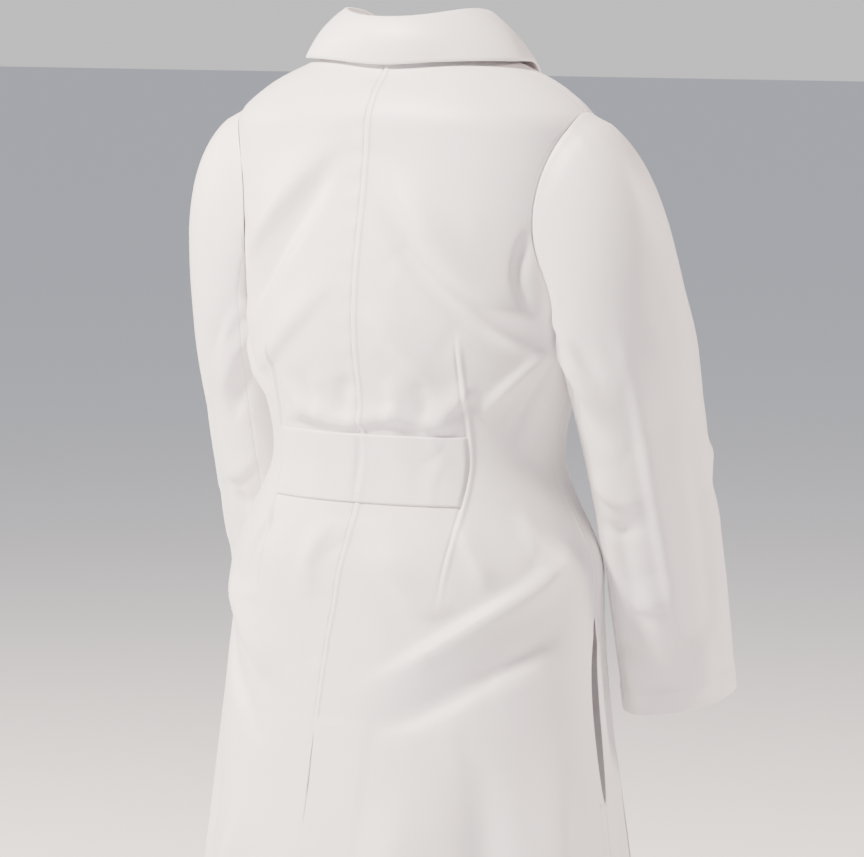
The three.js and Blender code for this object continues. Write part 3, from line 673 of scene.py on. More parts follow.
@dataclass
class Workshop:
    """Makes the scene's objects and keeps their materials and their count."""

    materials: dict[Finish, bpy.types.Material] = field(default_factory=dict)
    triangles: int = 0

    def material(self, finish: Finish) -> bpy.types.Material:
        """Return a finish's material, made once."""
        if finish not in self.materials:
            self.materials[finish] = finish.value.build()
        return self.materials[finish]

    def register(
        self,
        piece: bpy.types.Object,
        finish: Finish,
        slot: str,
        motion: Motion,
        nodes: Sequence[str] = (),
    ) -> bpy.types.Object:
        """Give a piece its finish, attach it to its body unless its motion is a bend, and hide the nodes it
        stands for.

        Args:
            piece: The finished object.
            finish: Its material.
            slot: Its slot in the shared record; not used.
            motion: What it moves with.
            nodes: The shared nodes it replaces.

        Returns:
            The piece.
        """
        piece.data.materials.clear()
        piece.data.materials.append(self.material(finish))
        if nodes:
            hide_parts(*nodes)
        motion.give(piece)
        count = sum(len(face.vertices) - 2 for face in piece.data.polygons)
        self.triangles += count
        LOG.info("%s: %d triangles", piece.name, count)
        return piece

    def mesh(
        self,
        name: str,
        points: Array,
        quads: Array,
        triangles: Array,
        uv: Optional[Array] = None,
    ) -> bpy.types.Object:
        """Make an object from points in mm and faces that share them."""
        data = bpy.data.meshes.new(name)
        data.vertices.add(len(points))
        data.vertices.foreach_set("co", (np.asarray(points, float) * MM).astype(np.float32).ravel())
        corners = np.concatenate([quads.ravel(), triangles.ravel()]).astype(np.int32)
        data.loops.add(len(corners))
        data.loops.foreach_set("vertex_index", corners)
        sizes = np.concatenate([np.full(len(quads), 4), np.full(len(triangles), 3)]).astype(np.int32)
        data.polygons.add(len(sizes))
        data.polygons.foreach_set("loop_start", np.concatenate([[0], np.cumsum(sizes)[:-1]]).astype(np.int32))
        data.polygons.foreach_set("use_smooth", np.ones(len(sizes), bool))
        layer = data.uv_layers.new(name="cloth_mm")
        if uv is not None:
            layer.data.foreach_set("uv", uv[corners].astype(np.float32).ravel())
        data.update(calc_edges=True)
        data.validate()
        made = bpy.data.objects.new(name, data)
        bpy.context.scene.collection.objects.link(made)
        return made

    def cloth(self, name: str, grid: Array, thickness: float | Array, facing: Array) -> bpy.types.Object:
        """Make a closed sheet of cloth with a soft rim round it.

        Args:
            name: Name of the piece, without its first word.
            grid: Middle points of the sheet as rows and columns, in mm.
            thickness: Thickness in mm, one value or one for each point.
            facing: A direction out of the sheet for each point.

        Returns:
            The object.
        """
        rows, columns = grid.shape[:2]
        normal = unit(np.cross(np.gradient(grid, axis=1), np.gradient(grid, axis=0)))
        turned = np.sign((normal * facing).sum(axis=-1, keepdims=True))
        normal = normal * np.where(turned == 0, 1, turned)
        half = (np.zeros((rows, columns)) + thickness)[..., None] / 2
        outer, inner = grid + normal * half, grid - normal * half
        number = np.arange(rows * columns).reshape(rows, columns)
        back = number + rows * columns
        quads = [
            np.stack(
                [number[:-1, :-1], number[:-1, 1:], number[1:, 1:], number[1:, :-1]], axis=-1
            ).reshape(-1, 4),
            np.stack([back[:-1, :-1], back[1:, :-1], back[1:, 1:], back[:-1, 1:]], axis=-1).reshape(-1, 4),
        ]
        ring = np.concatenate([number[0, :-1], number[:-1, -1], number[-1, :0:-1], number[:0:-1, 0]])
        points = [outer.reshape(-1, 3), inner.reshape(-1, 3)]
        outward = np.concatenate([
            unit(grid[0] - grid[1])[:-1], unit(grid[:, -1] - grid[:, -2])[:-1],
            unit(grid[-1] - grid[-2])[:0:-1], unit(grid[:, 0] - grid[:, 1])[:0:-1],
        ])
        middle = (points[0][ring] + points[1][ring]) / 2 + outward * half.reshape(-1, 1)[ring] * 0.8
        edge = 2 * rows * columns + np.arange(len(ring))
        following = np.roll(np.arange(len(ring)), -1)
        quads.append(np.stack([ring, edge, edge[following], ring[following]], axis=-1))
        behind = ring + rows * columns
        quads.append(np.stack([edge, behind, behind[following], edge[following]], axis=-1))
        faces = np.concatenate(quads)
        across = np.concatenate(
            [np.zeros((rows, 1)), np.cumsum(np.linalg.norm(np.diff(grid, axis=1), axis=-1), axis=1)], axis=1
        )
        across = across - across.mean(axis=1, keepdims=True)
        down = np.concatenate(
            [np.zeros((1, columns)), np.cumsum(np.linalg.norm(np.diff(grid, axis=0), axis=-1), axis=0)]
        )
        uv = np.stack([across, down], axis=-1).reshape(-1, 2)
        everything = np.concatenate([*points, middle])
        flat = np.concatenate([uv, uv, uv[ring]])
        first = everything[faces[0]]
        if (np.cross(first[1] - first[0], first[2] - first[0]) * normal[0, 0]).sum() < 0:
            faces = faces[:, ::-1]
        return self.mesh(f"cloth_{name}", everything, faces, np.zeros((0, 3), int), flat)

    def stitches(
        self,
        name: str,
        lines: Sequence[tuple[Array, Array]],
        pitch: float = 3.2,
        gauge: float = 0.46,
    ) -> bpy.types.Object:
        """Make rows of stitches as small spindles along lines on the cloth.

        Args:
            name: Name of the piece.
            lines: For each row its points and the directions out of the cloth.
            pitch: Distance from one stitch to the next, in mm.
            gauge: Half of the thread's thickness, in mm.

        Returns:
            The object.
        """
        sides = 5
        turns = np.linspace(0, 2 * math.pi, sides, endpoint=False)
        points, faces, total = [], [], 0
        for curve, normals in lines:
            length = float(np.linalg.norm(np.diff(curve, axis=0), axis=1).sum())
            count = max(2, int(length / pitch))
            joined = even_points(np.concatenate([curve, normals], axis=1), 2 * count + 1)
            centre, out = joined[:, :3], unit(joined[:, 3:])
            start, end, middle, lift = centre[0:-1:2], centre[2::2], centre[1::2], out[1::2]
            way = unit(end - start)
            half = 0.36 * np.linalg.norm(end - start, axis=1)[:, None]
            aside = unit(np.cross(way, lift))
            ring = [middle + aside * gauge * math.cos(t) + lift * gauge * math.sin(t) for t in turns]
            block = np.stack(
                [middle - way * half - lift * gauge, *ring, middle + way * half - lift * gauge], axis=1
            )
            first = total + np.arange(len(block))[:, None] * (sides + 2)
            for k in range(sides):
                here, there = 1 + k, 1 + (k + 1) % sides
                faces.append(first + np.array([[0, there, here]]))
                faces.append(first + np.array([[sides + 1, here, there]]))
            points.append(block.reshape(-1, 3))
            total += len(block) * (sides + 2)
        cloud = np.concatenate(points)
        return self.mesh(name, cloud, np.zeros((0, 4), int), np.concatenate(faces), cloud[:, :2])


def flat_cut(grid: Array) -> tuple[tuple[float, float], float]:
    """Return a draped grid's longest row, its longest column and its surface's area, in metres.

    Args:
        grid: The sheet's points as rows and columns, in mm.

    Returns:
        The width and length, and the area in square metres.
    """
    across = np.linalg.norm(np.diff(grid, axis=1), axis=-1)
    down = np.linalg.norm(np.diff(grid, axis=0), axis=-1)
    first = np.cross(grid[:-1, 1:] - grid[:-1, :-1], grid[1:, :-1] - grid[:-1, :-1])
    second = np.cross(grid[1:, :-1] - grid[1:, 1:], grid[:-1, 1:] - grid[1:, 1:])
    area = (np.linalg.norm(first, axis=-1).sum() + np.linalg.norm(second, axis=-1).sum()) / 2
    width, length = across.sum(axis=1).max(), down.sum(axis=0).max()
    return (float(width * MM), float(length * MM)), float(min(area, width * length) * MM * MM)


# ---------------------------------------------------------------- the coat's cloth


class Side(Enum):
    """The wearer's left and right, as a sign of X."""

    LEFT = 1
    RIGHT = -1

    @property
    def word(self) -> str:
        """Return the side's name in lower case."""
        return self.name.lower()


def back_motion() -> Motion:
    """Return the motion of what stays with the coat's body."""
    return Motion(ROOT)


def front_motion(side: Side) -> Motion:
    """Return the bend of a front that would swing open below its yoke; the bend is not made."""
    return Motion(ROOT, f"{side.word}_front", (0.0, 0.0, -125.0), (0.0, 0.0, -330.0))


def sleeve_motion(side: Side) -> Motion:
    """Return the bend of a sleeve that would be raised at the shoulder; the bend is not made."""
    return Motion(
        ROOT, f"{side.word}_sleeve", (side.value * 228.0, 0.0, -131.0), (side.value * 362.0, 0.0, -208.0)
    )


@dataclass
class BodyPanels:
    """The coat's back, side fronts, centre fronts, yokes, facings, vent and slits.

    Attributes:
        shop: Makes the meshes.
        torso: The surface that the panels lie on.
        cloth: Thickness of one layer, in mm.
        layer: Distance from one layer to the next, in mm.
        pitch: Spacing of the mesh down the coat, in mm.
        hem: Depth of the turned hem, in mm.
    """

    shop: Workshop
    torso: Torso
    cloth: float = 0.8
    layer: float = 1.3
    pitch: float = 4.0
    hem: float = 26.0
    seam_gap: float = 0.1
    slit_gap: float = 10.0
    vent_gap: float = 6.0
    vent_fall: float = 9.0
    slit_facing: float = 16.0
    front_gap: float = 8.0
    facing: float = 60.0
    princess_top: float = math.radians(146.0)
    princess_hem: float = math.radians(118.0)
    princess_lap: float = 9.0
    yoke_cut: tuple[float, float] = (210.0, 160.0)

    def levels(self, top: float, bottom: float) -> Array:
        """Return the mesh levels from one depth to another."""
        keys = [
            k for k in (self.torso.belt_top, self.torso.slit_top, self.torso.vent_top) if top < k < bottom
        ]
        if bottom >= self.torso.length:
            keys += [bottom - self.hem - 1.0, bottom - self.hem + 1.0, bottom - 2.0]
        return steps_between([top, *keys, bottom], self.pitch)

    def spread(self, levels: Array, keys: Sequence[Array], parts: Sequence[int]) -> Array:
        """Return the turns of a panel's columns, with parts columns between its key lines."""
        lines = []
        for k, count in enumerate(parts):
            lines += [lerp(keys[k], keys[k + 1], step / count) for step in range(count)]
        lines.append(keys[-1])
        return np.stack([line + np.zeros_like(levels) for line in lines], axis=1)

    def hem_thickness(self, levels: Array, columns: int) -> Array:
        """Return the thickness at each point, doubled over the hem."""
        turned = smooth((levels - self.torso.length + self.hem + 1.0) / 2.0)
        return (self.cloth + 0.9 * turned)[:, None] + np.zeros((1, columns))

    def lay(
        self,
        name: str,
        turns: Array,
        levels: Array,
        stand: float | Array = 0.0,
        thickness: float | Array | None = None,
    ) -> tuple[bpy.types.Object, Array]:
        """Lay a sheet on the torso.

        Args:
            name: Name of the piece.
            turns: Turn of each point, as rows and columns.
            levels: Depth of each row, or of each point.
            stand: Distance off the torso, in mm.
            thickness: Thickness in mm; one layer if it is left out.

        Returns:
            The object and the grid it was made on.
        """
        depth = levels[:, None] + np.zeros_like(turns) if levels.ndim == 1 else levels
        points, normals = self.torso.place(turns, depth, np.zeros_like(turns) + stand)
        made = self.shop.cloth(name, points, self.cloth if thickness is None else thickness, normals)
        return made, points

    def declare(
        self,
        piece: bpy.types.Object,
        grid: Array,
        held: str = "hung",
        rests_on: Sequence[str] = (),
        cut: Optional[tuple[float, float]] = None,
    ) -> None:
        """Work out a piece's flat size from its own draped grid; the piece is not declared and the size is
        not kept.

        Args:
            piece: The sheet; not used.
            grid: The grid it was made on, in mm.
            held: How it is held; not used.
            rests_on: The sheets it lies on; not used.
            cut: Width and length in mm that are taken instead of the grid's.
        """
        flat, area = flat_cut(grid)
        if cut is not None:
            flat = (cut[0] * MM, cut[1] * MM)

    def slit_half(self, depth: Array) -> Array:
        """Return half of a side slit's opening, in mm."""
        share = np.clip((depth - self.torso.slit_top) / self.torso.slit_length, 0.0, 1.0)
        return self.slit_gap / 2 * np.sin(math.pi * share) ** 0.5

    def side_half_gap(self, depth: Array) -> Array:
        """Return the turn from the side seam to the edge of a panel."""
        return self.torso.along_side(self.seam_gap / 2 + self.slit_half(depth), depth)

    def back_edge(self, depth: Array) -> Array:
        """Return the turn of a back panel's outer edge."""
        torso = self.torso
        shoulder = torso.shoulder_seam - torso.along_side(self.seam_gap / 2, depth)
        armhole = torso.armhole_angle(torso.turn_at(depth))
        side = torso.side_seam - self.side_half_gap(depth)
        return np.where(
            depth <= torso.shoulder, shoulder, np.where(depth < torso.armhole_foot, armhole, side)
        )

    def back_keys(self, depth: Array) -> list[Array]:
        """Return the turns of a back panel's key lines."""
        torso = self.torso
        edge = self.back_edge(depth)
        dart = np.minimum(torso.across(torso.dart_offset, depth), edge * 0.72)
        vent = np.minimum(torso.across(torso.vent_width, depth), dart * 0.55)
        strip = np.minimum(torso.across(8.0, depth), vent * 0.3)
        before = np.maximum(dart - torso.along_side(8.0, depth), lerp(vent, dart, 0.8))
        facing = edge - torso.along_side(self.slit_facing, depth)
        after = np.minimum(dart + torso.along_side(10.0, depth), lerp(dart, facing, 0.3))
        return [torso.across(self.seam_gap / 2, depth), strip, vent, before, dart, after, facing, edge]

    def vent_edge(self, depth: Array) -> Array:
        """Return the turn of the over panel's edge, which stands open below the vent's top."""
        opened = self.vent_gap * smooth((depth - self.torso.vent_top) / 60) ** 0.5
        return self.torso.across(self.seam_gap / 2 + opened, depth)

    def build_back(self, side: Side) -> None:
        """Build one back panel, from the nape to the hem; the vent stands a little open."""
        levels = self.levels(0.0, self.torso.length)
        keys = self.back_keys(levels)
        if side is Side.RIGHT:
            keys[0] = self.vent_edge(levels)
            keys[1] = keys[1] + keys[0]
        turns = side.value * self.spread(levels, keys, (8, 12, 9, 8, 8, 28, 12))
        made, grid = self.lay(
            f"back_{side.word}", turns, levels, 0.0, self.hem_thickness(levels, turns.shape[1])
        )
        self.shop.register(made, Finish.POPLIN, "poplin", back_motion(), [f"back_{side.word}"])
        self.declare(made, grid)

    def princess(self, depth: Array) -> Array:
        """Return the turn of the seam between the side front and the centre front."""
        top = self.torso.yoke_depth
        return lerp(
            self.princess_top, self.princess_hem, np.clip((depth - top) / (self.torso.length - top), 0.0, 1.0)
        )

    def lap(self, depth: Array) -> Array:
        """Return the turn at which the centre front begins to lie over the side front."""
        return self.princess(depth) + self.princess_lap / self.torso.half(depth)

    def build_side_front(self, side: Side) -> None:
        """Build one side front panel below the yoke."""
        torso = self.torso
        levels = self.levels(torso.yoke_depth + self.seam_gap, torso.length)
        armhole = torso.armhole_angle(-torso.turn_at(levels))
        outer = np.where(levels < torso.armhole_foot, armhole, torso.side_seam + self.side_half_gap(levels))
        near = outer + torso.along_side(14.0, levels) * smooth((self.lap(levels) - outer) * 6)
        turns = side.value * self.spread(levels, [self.lap(levels), near, outer], (18, 10))
        made, grid = self.lay(
            f"side_front_{side.word}", turns, levels, 0.0, self.hem_thickness(levels, turns.shape[1])
        )
        self.shop.register(made, Finish.POPLIN, "poplin", back_motion(), [f"side_front_{side.word}"])
        self.declare(made, grid)

    def front_keys(self, depth: Array) -> list[Array]:
        """Return the turns of a centre front's key lines."""
        torso = self.torso
        facing = torso.from_front(self.facing, depth)
        lap = self.lap(depth)
        return [
            torso.from_front(self.front_gap / 2, depth),
            facing,
            lerp(facing, lap, 0.9),
            lap,
            self.princess(depth),
        ]

    def build_centre_front(self, side: Side) -> None:
        """Build one centre front and the facing inside its edge."""
        torso = self.torso
        levels = self.levels(torso.yoke_depth + self.seam_gap, torso.length)
        turns = side.value * self.spread(levels, self.front_keys(levels), (16, 16, 3, 3))
        over = np.zeros(turns.shape)
        over[:, -4:] = self.layer
        made, grid = self.lay(
            f"centre_front_{side.word}", turns, levels, over, self.hem_thickness(levels, turns.shape[1])
        )
        self.shop.register(made, Finish.POPLIN, "poplin", front_motion(side), [f"centre_front_{side.word}"])
        self.declare(made, grid)
        inside, grid = self.lay(f"front_facing_{side.word}", turns[:, :17], levels, -self.layer)
        self.shop.register(
            inside, Finish.POPLIN_INNER, "poplin_facing", front_motion(side), [f"front_facing_{side.word}"]
        )
        self.declare(inside, grid, "hung", [f"centre_front_{side.word}"])

    def yoke_grid(self, columns: int = 60, rows: int = 30) -> tuple[Array, Array]:
        """Return the turns and depths of a front yoke, filled in between its four edges."""
        torso = self.torso
        neck_share = 0.6
        top = []
        for c in range(columns + 1):
            share = c / columns
            if share < neck_share:
                x, y = self.front_neck_plan(share / neck_share)
                top.append(torso.under(x, y))
            else:
                depth = torso.shoulder * (share - neck_share) / (1 - neck_share)
                top.append((float(torso.shoulder_seam + torso.along_side(self.seam_gap, depth)), depth))
        top = np.array(top)
        u = np.linspace(0, 1, columns + 1)[None, :, None]
        v = np.linspace(0, 1, rows + 1)[:, None, None]
        outer_angle = float(torso.armhole_angle(-math.pi * torso.yoke_step / torso.armhole_steps))
        start = float(torso.from_front(self.front_gap / 2, torso.yoke_depth))
        bottom = np.stack(
            [lerp(start, outer_angle, u[0, :, 0]), np.full(columns + 1, torso.yoke_depth)], axis=1
        )
        left_depth = lerp(top[0, 1], torso.yoke_depth, v[:, 0, 0])
        left = np.stack([torso.from_front(self.front_gap / 2, left_depth), left_depth], axis=1)
        turn = -math.pi * torso.yoke_step / torso.armhole_steps * v[:, 0, 0]
        right = np.stack([torso.armhole_angle(turn), torso.armhole_depth(turn)], axis=1)
        right[0] = top[-1]
        at = (
            top[None] * (1 - v) + bottom[None] * v + left[:, None] * (1 - u) + right[:, None] * u
            - top[0] * (1 - u) * (1 - v) - top[-1] * u * (1 - v)
            - bottom[0] * (1 - u) * v - bottom[-1] * u * v
        )
        return at[..., 0], at[..., 1]

    def front_neck_plan(self, share: float) -> tuple[float, float]:
        """Return the neck seam in plan: share 0 is the centre front, 1 the side of the neck."""
        start = math.asin(self.front_gap / 2 / self.torso.neck_half)
        turn = lerp(start, math.pi / 2, share)
        return self.torso.neck_half * math.sin(turn), -self.torso.front_neck * math.cos(turn)

    def build_yoke(self, side: Side) -> None:
        """Build one front yoke, from the neck and shoulder to the seam above the chest."""
        turns, depths = self.yoke_grid()
        made, grid = self.lay(f"front_yoke_{side.word}", side.value * turns, depths)
        self.shop.register(made, Finish.POPLIN, "poplin", back_motion(), [f"front_yoke_{side.word}"])
        self.declare(made, grid, "draped", cut=self.yoke_cut)

    def build_vent(self) -> None:
        """Build the vent's turned edge and the extension that runs behind it."""
        torso = self.torso
        levels = self.levels(torso.vent_top, torso.length)
        strip = torso.across(torso.vent_width, levels)
        seam = torso.across(self.seam_gap / 2, levels)
        turns = -self.spread(levels, [self.vent_edge(levels), strip], (16,))
        facing, grid = self.lay("vent_facing", turns, levels, -self.layer)
        self.shop.register(facing, Finish.POPLIN_INNER, "poplin_facing", back_motion(), ["vent_facing"])
        self.declare(facing, grid, "hung", ["back_right"])
        sewn = lerp(seam, strip, 0.5)
        turns = self.spread(levels, [-strip, -seam, seam, sewn], (16, 2, 9))
        fallen = self.vent_fall * smooth((levels - torso.vent_top) / 260)[:, None]
        layers = np.where(turns < seam[:, None] * 0.5, 2.0, 1.0)
        behind = layers * -self.layer - fallen * np.where(turns < 0, 1.0, 0.3)
        lap, grid = self.lay("vent_underlap", turns, levels, behind)
        self.shop.register(lap, Finish.POPLIN, "poplin", back_motion(), ["vent_underlap"])
        self.declare(lap, grid, "hung", ["back_left"])

    def build_slit_facing(self, side: Side) -> None:
        """Build the strip inside the back edge of a side slit."""
        levels = self.levels(self.torso.slit_top, self.torso.slit_top + self.torso.slit_length)
        keys = self.back_keys(levels)[-2:]
        made, grid = self.lay(
            f"slit_facing_{side.word}", side.value * self.spread(levels, keys, (8,)), levels, -self.layer
        )
        self.shop.register(
            made, Finish.POPLIN_INNER, "poplin_facing", back_motion(), [f"slit_facing_{side.word}"]
        )
        self.declare(made, grid, "hung", [f"back_{side.word}"])

    def line(self, turns: Array, depths: Array, stand: float = 0.4) -> tuple[Array, Array]:
        """Return a line on the coat's face for a row of stitches."""
        return self.torso.place(turns, depths, np.zeros_like(depths) + stand)

    def down(
        self,
        distance: float,
        side: Side,
        top: float,
        bottom: float,
        stand: float = 0.45,
    ) -> tuple[Array, Array]:
        """Return a line down the back at a distance from its centre."""
        depths = np.linspace(top, bottom, max(8, int((bottom - top) / 5)))
        return self.line(side.value * self.torso.across(distance, depths), depths, stand)

    def build_stitching(self) -> None:
        """Build the stitches along the back's seams, the vent, the slits and the hem."""
        torso = self.torso
        top, foot, end = torso.belt_top, torso.belt_top + torso.belt_height, torso.length
        lines = [
            self.down(5.6, Side.RIGHT, 2.0, top - 2),
            self.down(5.6, Side.RIGHT, foot + 2, torso.vent_top),
            self.down(2.0, Side.RIGHT, torso.vent_top + 6, end - 2),
        ]
        slant = np.linspace(0, 1, 24)
        slant_turns = -torso.across(
            lerp(0.6, torso.vent_width, slant), lerp(torso.vent_top, torso.vent_top + 20, slant)
        )
        lines.append(self.line(slant_turns, lerp(torso.vent_top, torso.vent_top + 20, slant), 0.45))
        for side in Side:
            depths = np.linspace(torso.armhole_foot + 4, end - 2, 180)
            turns = torso.side_seam - torso.along_side(5.8 + self.slit_half(depths), depths)
            lines.append(self.line(side.value * turns, depths, 0.45))
            hem = np.full(160, end - self.hem + 3)
            lines.append(self.line(side.value * np.linspace(0.01, torso.side_seam - 0.01, 160), hem, 0.9))
            armhole = np.linspace(0.04, math.pi - 0.06, 90)
            depths = torso.armhole_depth(armhole)
            inset = torso.along_side(4.5, depths)
            lines.append(self.line(side.value * (torso.armhole_angle(armhole) - inset), depths, 0.45))
            for depth in (torso.slit_top, torso.slit_top + torso.slit_length):
                for row in range(7):
                    bar = np.full(6, depth - 1.6 + row * 0.55)
                    turns = torso.side_seam + torso.along_side(np.linspace(-8.0, 3.0, 6), bar)
                    lines.append(self.line(side.value * turns, bar, 0.6))
        made = self.shop.stitches("back_stitching", lines)
        self.shop.register(made, Finish.THREAD, "poplin", back_motion())
        for side in Side:
            depths = np.linspace(torso.yoke_depth + 3, end - 2, 180)
            edge = self.line(side.value * torso.from_front(self.front_gap / 2 + 5.5, depths), depths, 0.45)
            seam = self.line(
                side.value * (self.princess(depths) + torso.along_side(2.4, depths)),
                depths,
                self.layer + 0.45,
            )
            hem = np.full(80, end - self.hem + 3)
            low = torso.from_front(self.front_gap / 2 + 3, np.array([end]))[0]
            foot_line = self.line(side.value * np.linspace(self.lap(np.array([end]))[0], low, 80), hem, 0.9)
            made = self.shop.stitches(f"front_stitching_{side.word}", [edge, seam, foot_line])
            self.shop.register(made, Finish.THREAD, "poplin", front_motion(side))

    def build(self) -> None:
        """Build every panel of the body and its stitching."""
        for side in Side:
            self.build_back(side)
            self.build_side_front(side)
            self.build_centre_front(side)
            self.build_yoke(side)
            self.build_slit_facing(side)
        self.build_vent()
        self.build_stitching()


@dataclass
class HalfBelt:
    """The belt sewn into the back darts over the waist."""

    panels: BodyPanels
    thickness: float = 2.0
    stand: float = 1.9
    stitch_inset: float = 7.5

    def build(self) -> None:
        """Build the belt and its stitching."""
        panels, torso = self.panels, self.panels.torso
        top, foot = torso.belt_top, torso.belt_top + torso.belt_height
        levels = steps_between([top, top + 3, top + 8, foot - 10, foot - 3, foot], 2.4)
        end = torso.across(torso.dart_offset + 1.5, levels)
        turns = panels.spread(levels, [-end, end], (96,))
        share = np.linspace(-1, 1, turns.shape[1])[None, :]
        down = ((levels - top) / torso.belt_height)[:, None]
        tuck = smooth((1 - np.abs(share)) / 0.03)
        puff = 1.6 * np.sin(math.pi * np.clip(down, 0, 1)) ** 0.7
        crease = 1.4 * np.exp(-(((share + 0.02 - 0.05 * down) / 0.02) ** 2))
        crease = crease * smooth(down * 4) * smooth((1 - down) * 4)
        ripple = 0.5 * np.sin(share * 17 + down * 3.0) * np.sin(math.pi * down)
        stand = (self.stand + puff + ripple - crease) * tuck - 0.6 * (1 - tuck)
        made, grid = panels.lay("back_belt", turns, levels, stand, self.thickness)
        panels.shop.register(made, Finish.POPLIN, "poplin", back_motion(), ["back_belt"])
        panels.declare(made, grid, "stretched", ["back_left", "back_right"])
        rows = []
        for inset, sign in ((self.stitch_inset, 1), (3.0, -1)):
            depth = foot - inset if sign > 0 else top + inset
            place = np.clip((depth - top) / torso.belt_height, 0, 1)
            line = np.linspace(-0.97, 0.97, 90)
            turns = line * torso.across(torso.dart_offset, np.array([depth]))[0]
            arch = math.sin(math.pi * place)
            lift = self.stand + 1.6 * arch**0.7 + 0.5 * np.sin(line * 17 + place * 3.0) * arch
            rows.append(torso.place(turns, np.full(90, depth), lift + self.thickness / 2))
        made = panels.shop.stitches("belt_stitching", rows)
        panels.shop.register(made, Finish.THREAD, "poplin", back_motion())


@dataclass
class Collar:
    """The collar stand and the collar that turns down over it."""

    panels: BodyPanels
    stand_back: float = 42.0
    stand_front: float = 28.0
    stand_lean: float = 0.12
    stand_thickness: float = 1.4
    edge_back: float = 3.0
    edge_side: float = 15.0
    edge_front: float = 112.0
    point_spread: float = 46.0
    bow: float = 6.0
    clearance: float = 7.0
    thickness: float = 2.4
    columns: int = 72

    def seam(self, share: float) -> tuple[Array, Array]:
        """Return the neck seam and its outward direction: share 0 is the centre back, 1 the front."""
        torso = self.panels.torso
        if share <= 0.5:
            turn = math.pi * share
            x, y = torso.neck_half * math.sin(turn), torso.nape_back * math.cos(turn)
        else:
            x, y = self.panels.front_neck_plan(1 - (share - 0.5) / 0.5)
        angle, depth = torso.under(x, y)
        rise = torso.smooth_point(angle, depth)[2]
        out = unit(np.array([x / torso.neck_half**2, y / torso.nape_back**2, 0.0]))
        return np.array([x, y, rise]), out

    def height(self, share: float) -> float:
        """Return the stand's height at a share of the neck seam."""
        return float(lerp(self.stand_back, self.stand_front, smooth(share)))

    def edge(self, share: float) -> Array:
        """Return the lower edge of the collar, just over the body."""
        torso = self.panels.torso
        forward = (share - 0.5) / 0.5
        if forward <= 0:
            depth = float(lerp(self.edge_back, self.edge_side, smooth(share / 0.5)))
            angle = torso.shoulder_seam * share / 0.5
        else:
            depth = float(lerp(self.edge_side, self.edge_front, smooth(forward)))
            across = lerp(float(torso.half(self.edge_side)), self.point_spread, forward)
            angle = float(torso.from_front(across, depth))
        point, normal = torso.smooth_point(angle, depth), torso.smooth_normal(angle, depth)
        return point + normal * self.clearance

    def grids(self) -> tuple[Array, Array, Array, Array]:
        """Return the stand's and the collar's points and their outward directions."""
        mirror = np.array([-1.0, 1.0, 1.0])
        stand, stand_out, fall, fall_out = [], [], [], []
        for signed in np.linspace(-1, 1, 2 * self.columns + 1):
            share = abs(float(signed))
            flip = mirror if signed < 0 else np.ones(3)
            foot, out = self.seam(share)
            up = np.array([0.0, 0.0, 1.0])
            heights = np.linspace(0.6, self.height(share), 9)
            stand.append([(foot - out * self.stand_lean * h + up * h) * flip for h in heights])
            stand_out.append([out * flip] * 9)
            top = foot - out * self.stand_lean * self.height(share) + up * self.height(share)
            radius = 1.7
            roll = [
                top + out * radius * (1 - math.cos(t)) + up * radius * math.sin(t)
                for t in np.linspace(0, 2.2, 7)
            ]
            outs = [up * math.sin(t + 0.01) - out * math.cos(t + 0.01) for t in np.linspace(0, 2.2, 7)]
            last, edge = roll[-1], self.edge(share)
            wave = 0.9 * math.sin(share * 21) * share
            for part in np.linspace(0, 1, 17)[1:]:
                push = math.sin(math.pi * part**0.85) * self.bow + wave * part
                roll.append(lerp(last, edge, part) + out * push)
                outs.append(unit(out + up * 0.4))
            fall.append([point * flip for point in roll])
            fall_out.append([way * flip for way in outs])
        swap = (1, 0, 2)
        return tuple(np.array(rows).transpose(swap) for rows in (stand, stand_out, fall, fall_out))

    def build(self) -> None:
        """Build the stand, the collar and the collar's edge stitching."""
        shop = self.panels.shop
        stand, stand_out, fall, fall_out = self.grids()
        made = shop.cloth("collar_stand", stand, self.stand_thickness, stand_out)
        shop.register(made, Finish.POPLIN_INNER, "poplin", back_motion(), ["collar_stand"])
        self.panels.declare(made, stand, "folded")
        made = shop.cloth("collar", fall, self.thickness, fall_out)
        shop.register(made, Finish.POPLIN, "poplin", back_motion(), ["top_collar", "under_collar"])
        self.panels.declare(made, fall, "folded", ["collar_stand"])
        normal = unit(np.cross(np.gradient(fall, axis=1), np.gradient(fall, axis=0)))
        normal = normal * np.sign((normal * fall_out).sum(axis=-1, keepdims=True))
        face = fall + normal * self.thickness / 2
        rows = [
            (face[-3, 2:-2], normal[-3, 2:-2]),
            (face[8:-2, 2], normal[8:-2, 2]),
            (face[8:-2, -3], normal[8:-2, -3]),
        ]
        made = shop.stitches("collar_stitching", rows)
        shop.register(made, Finish.THREAD, "poplin", back_motion())


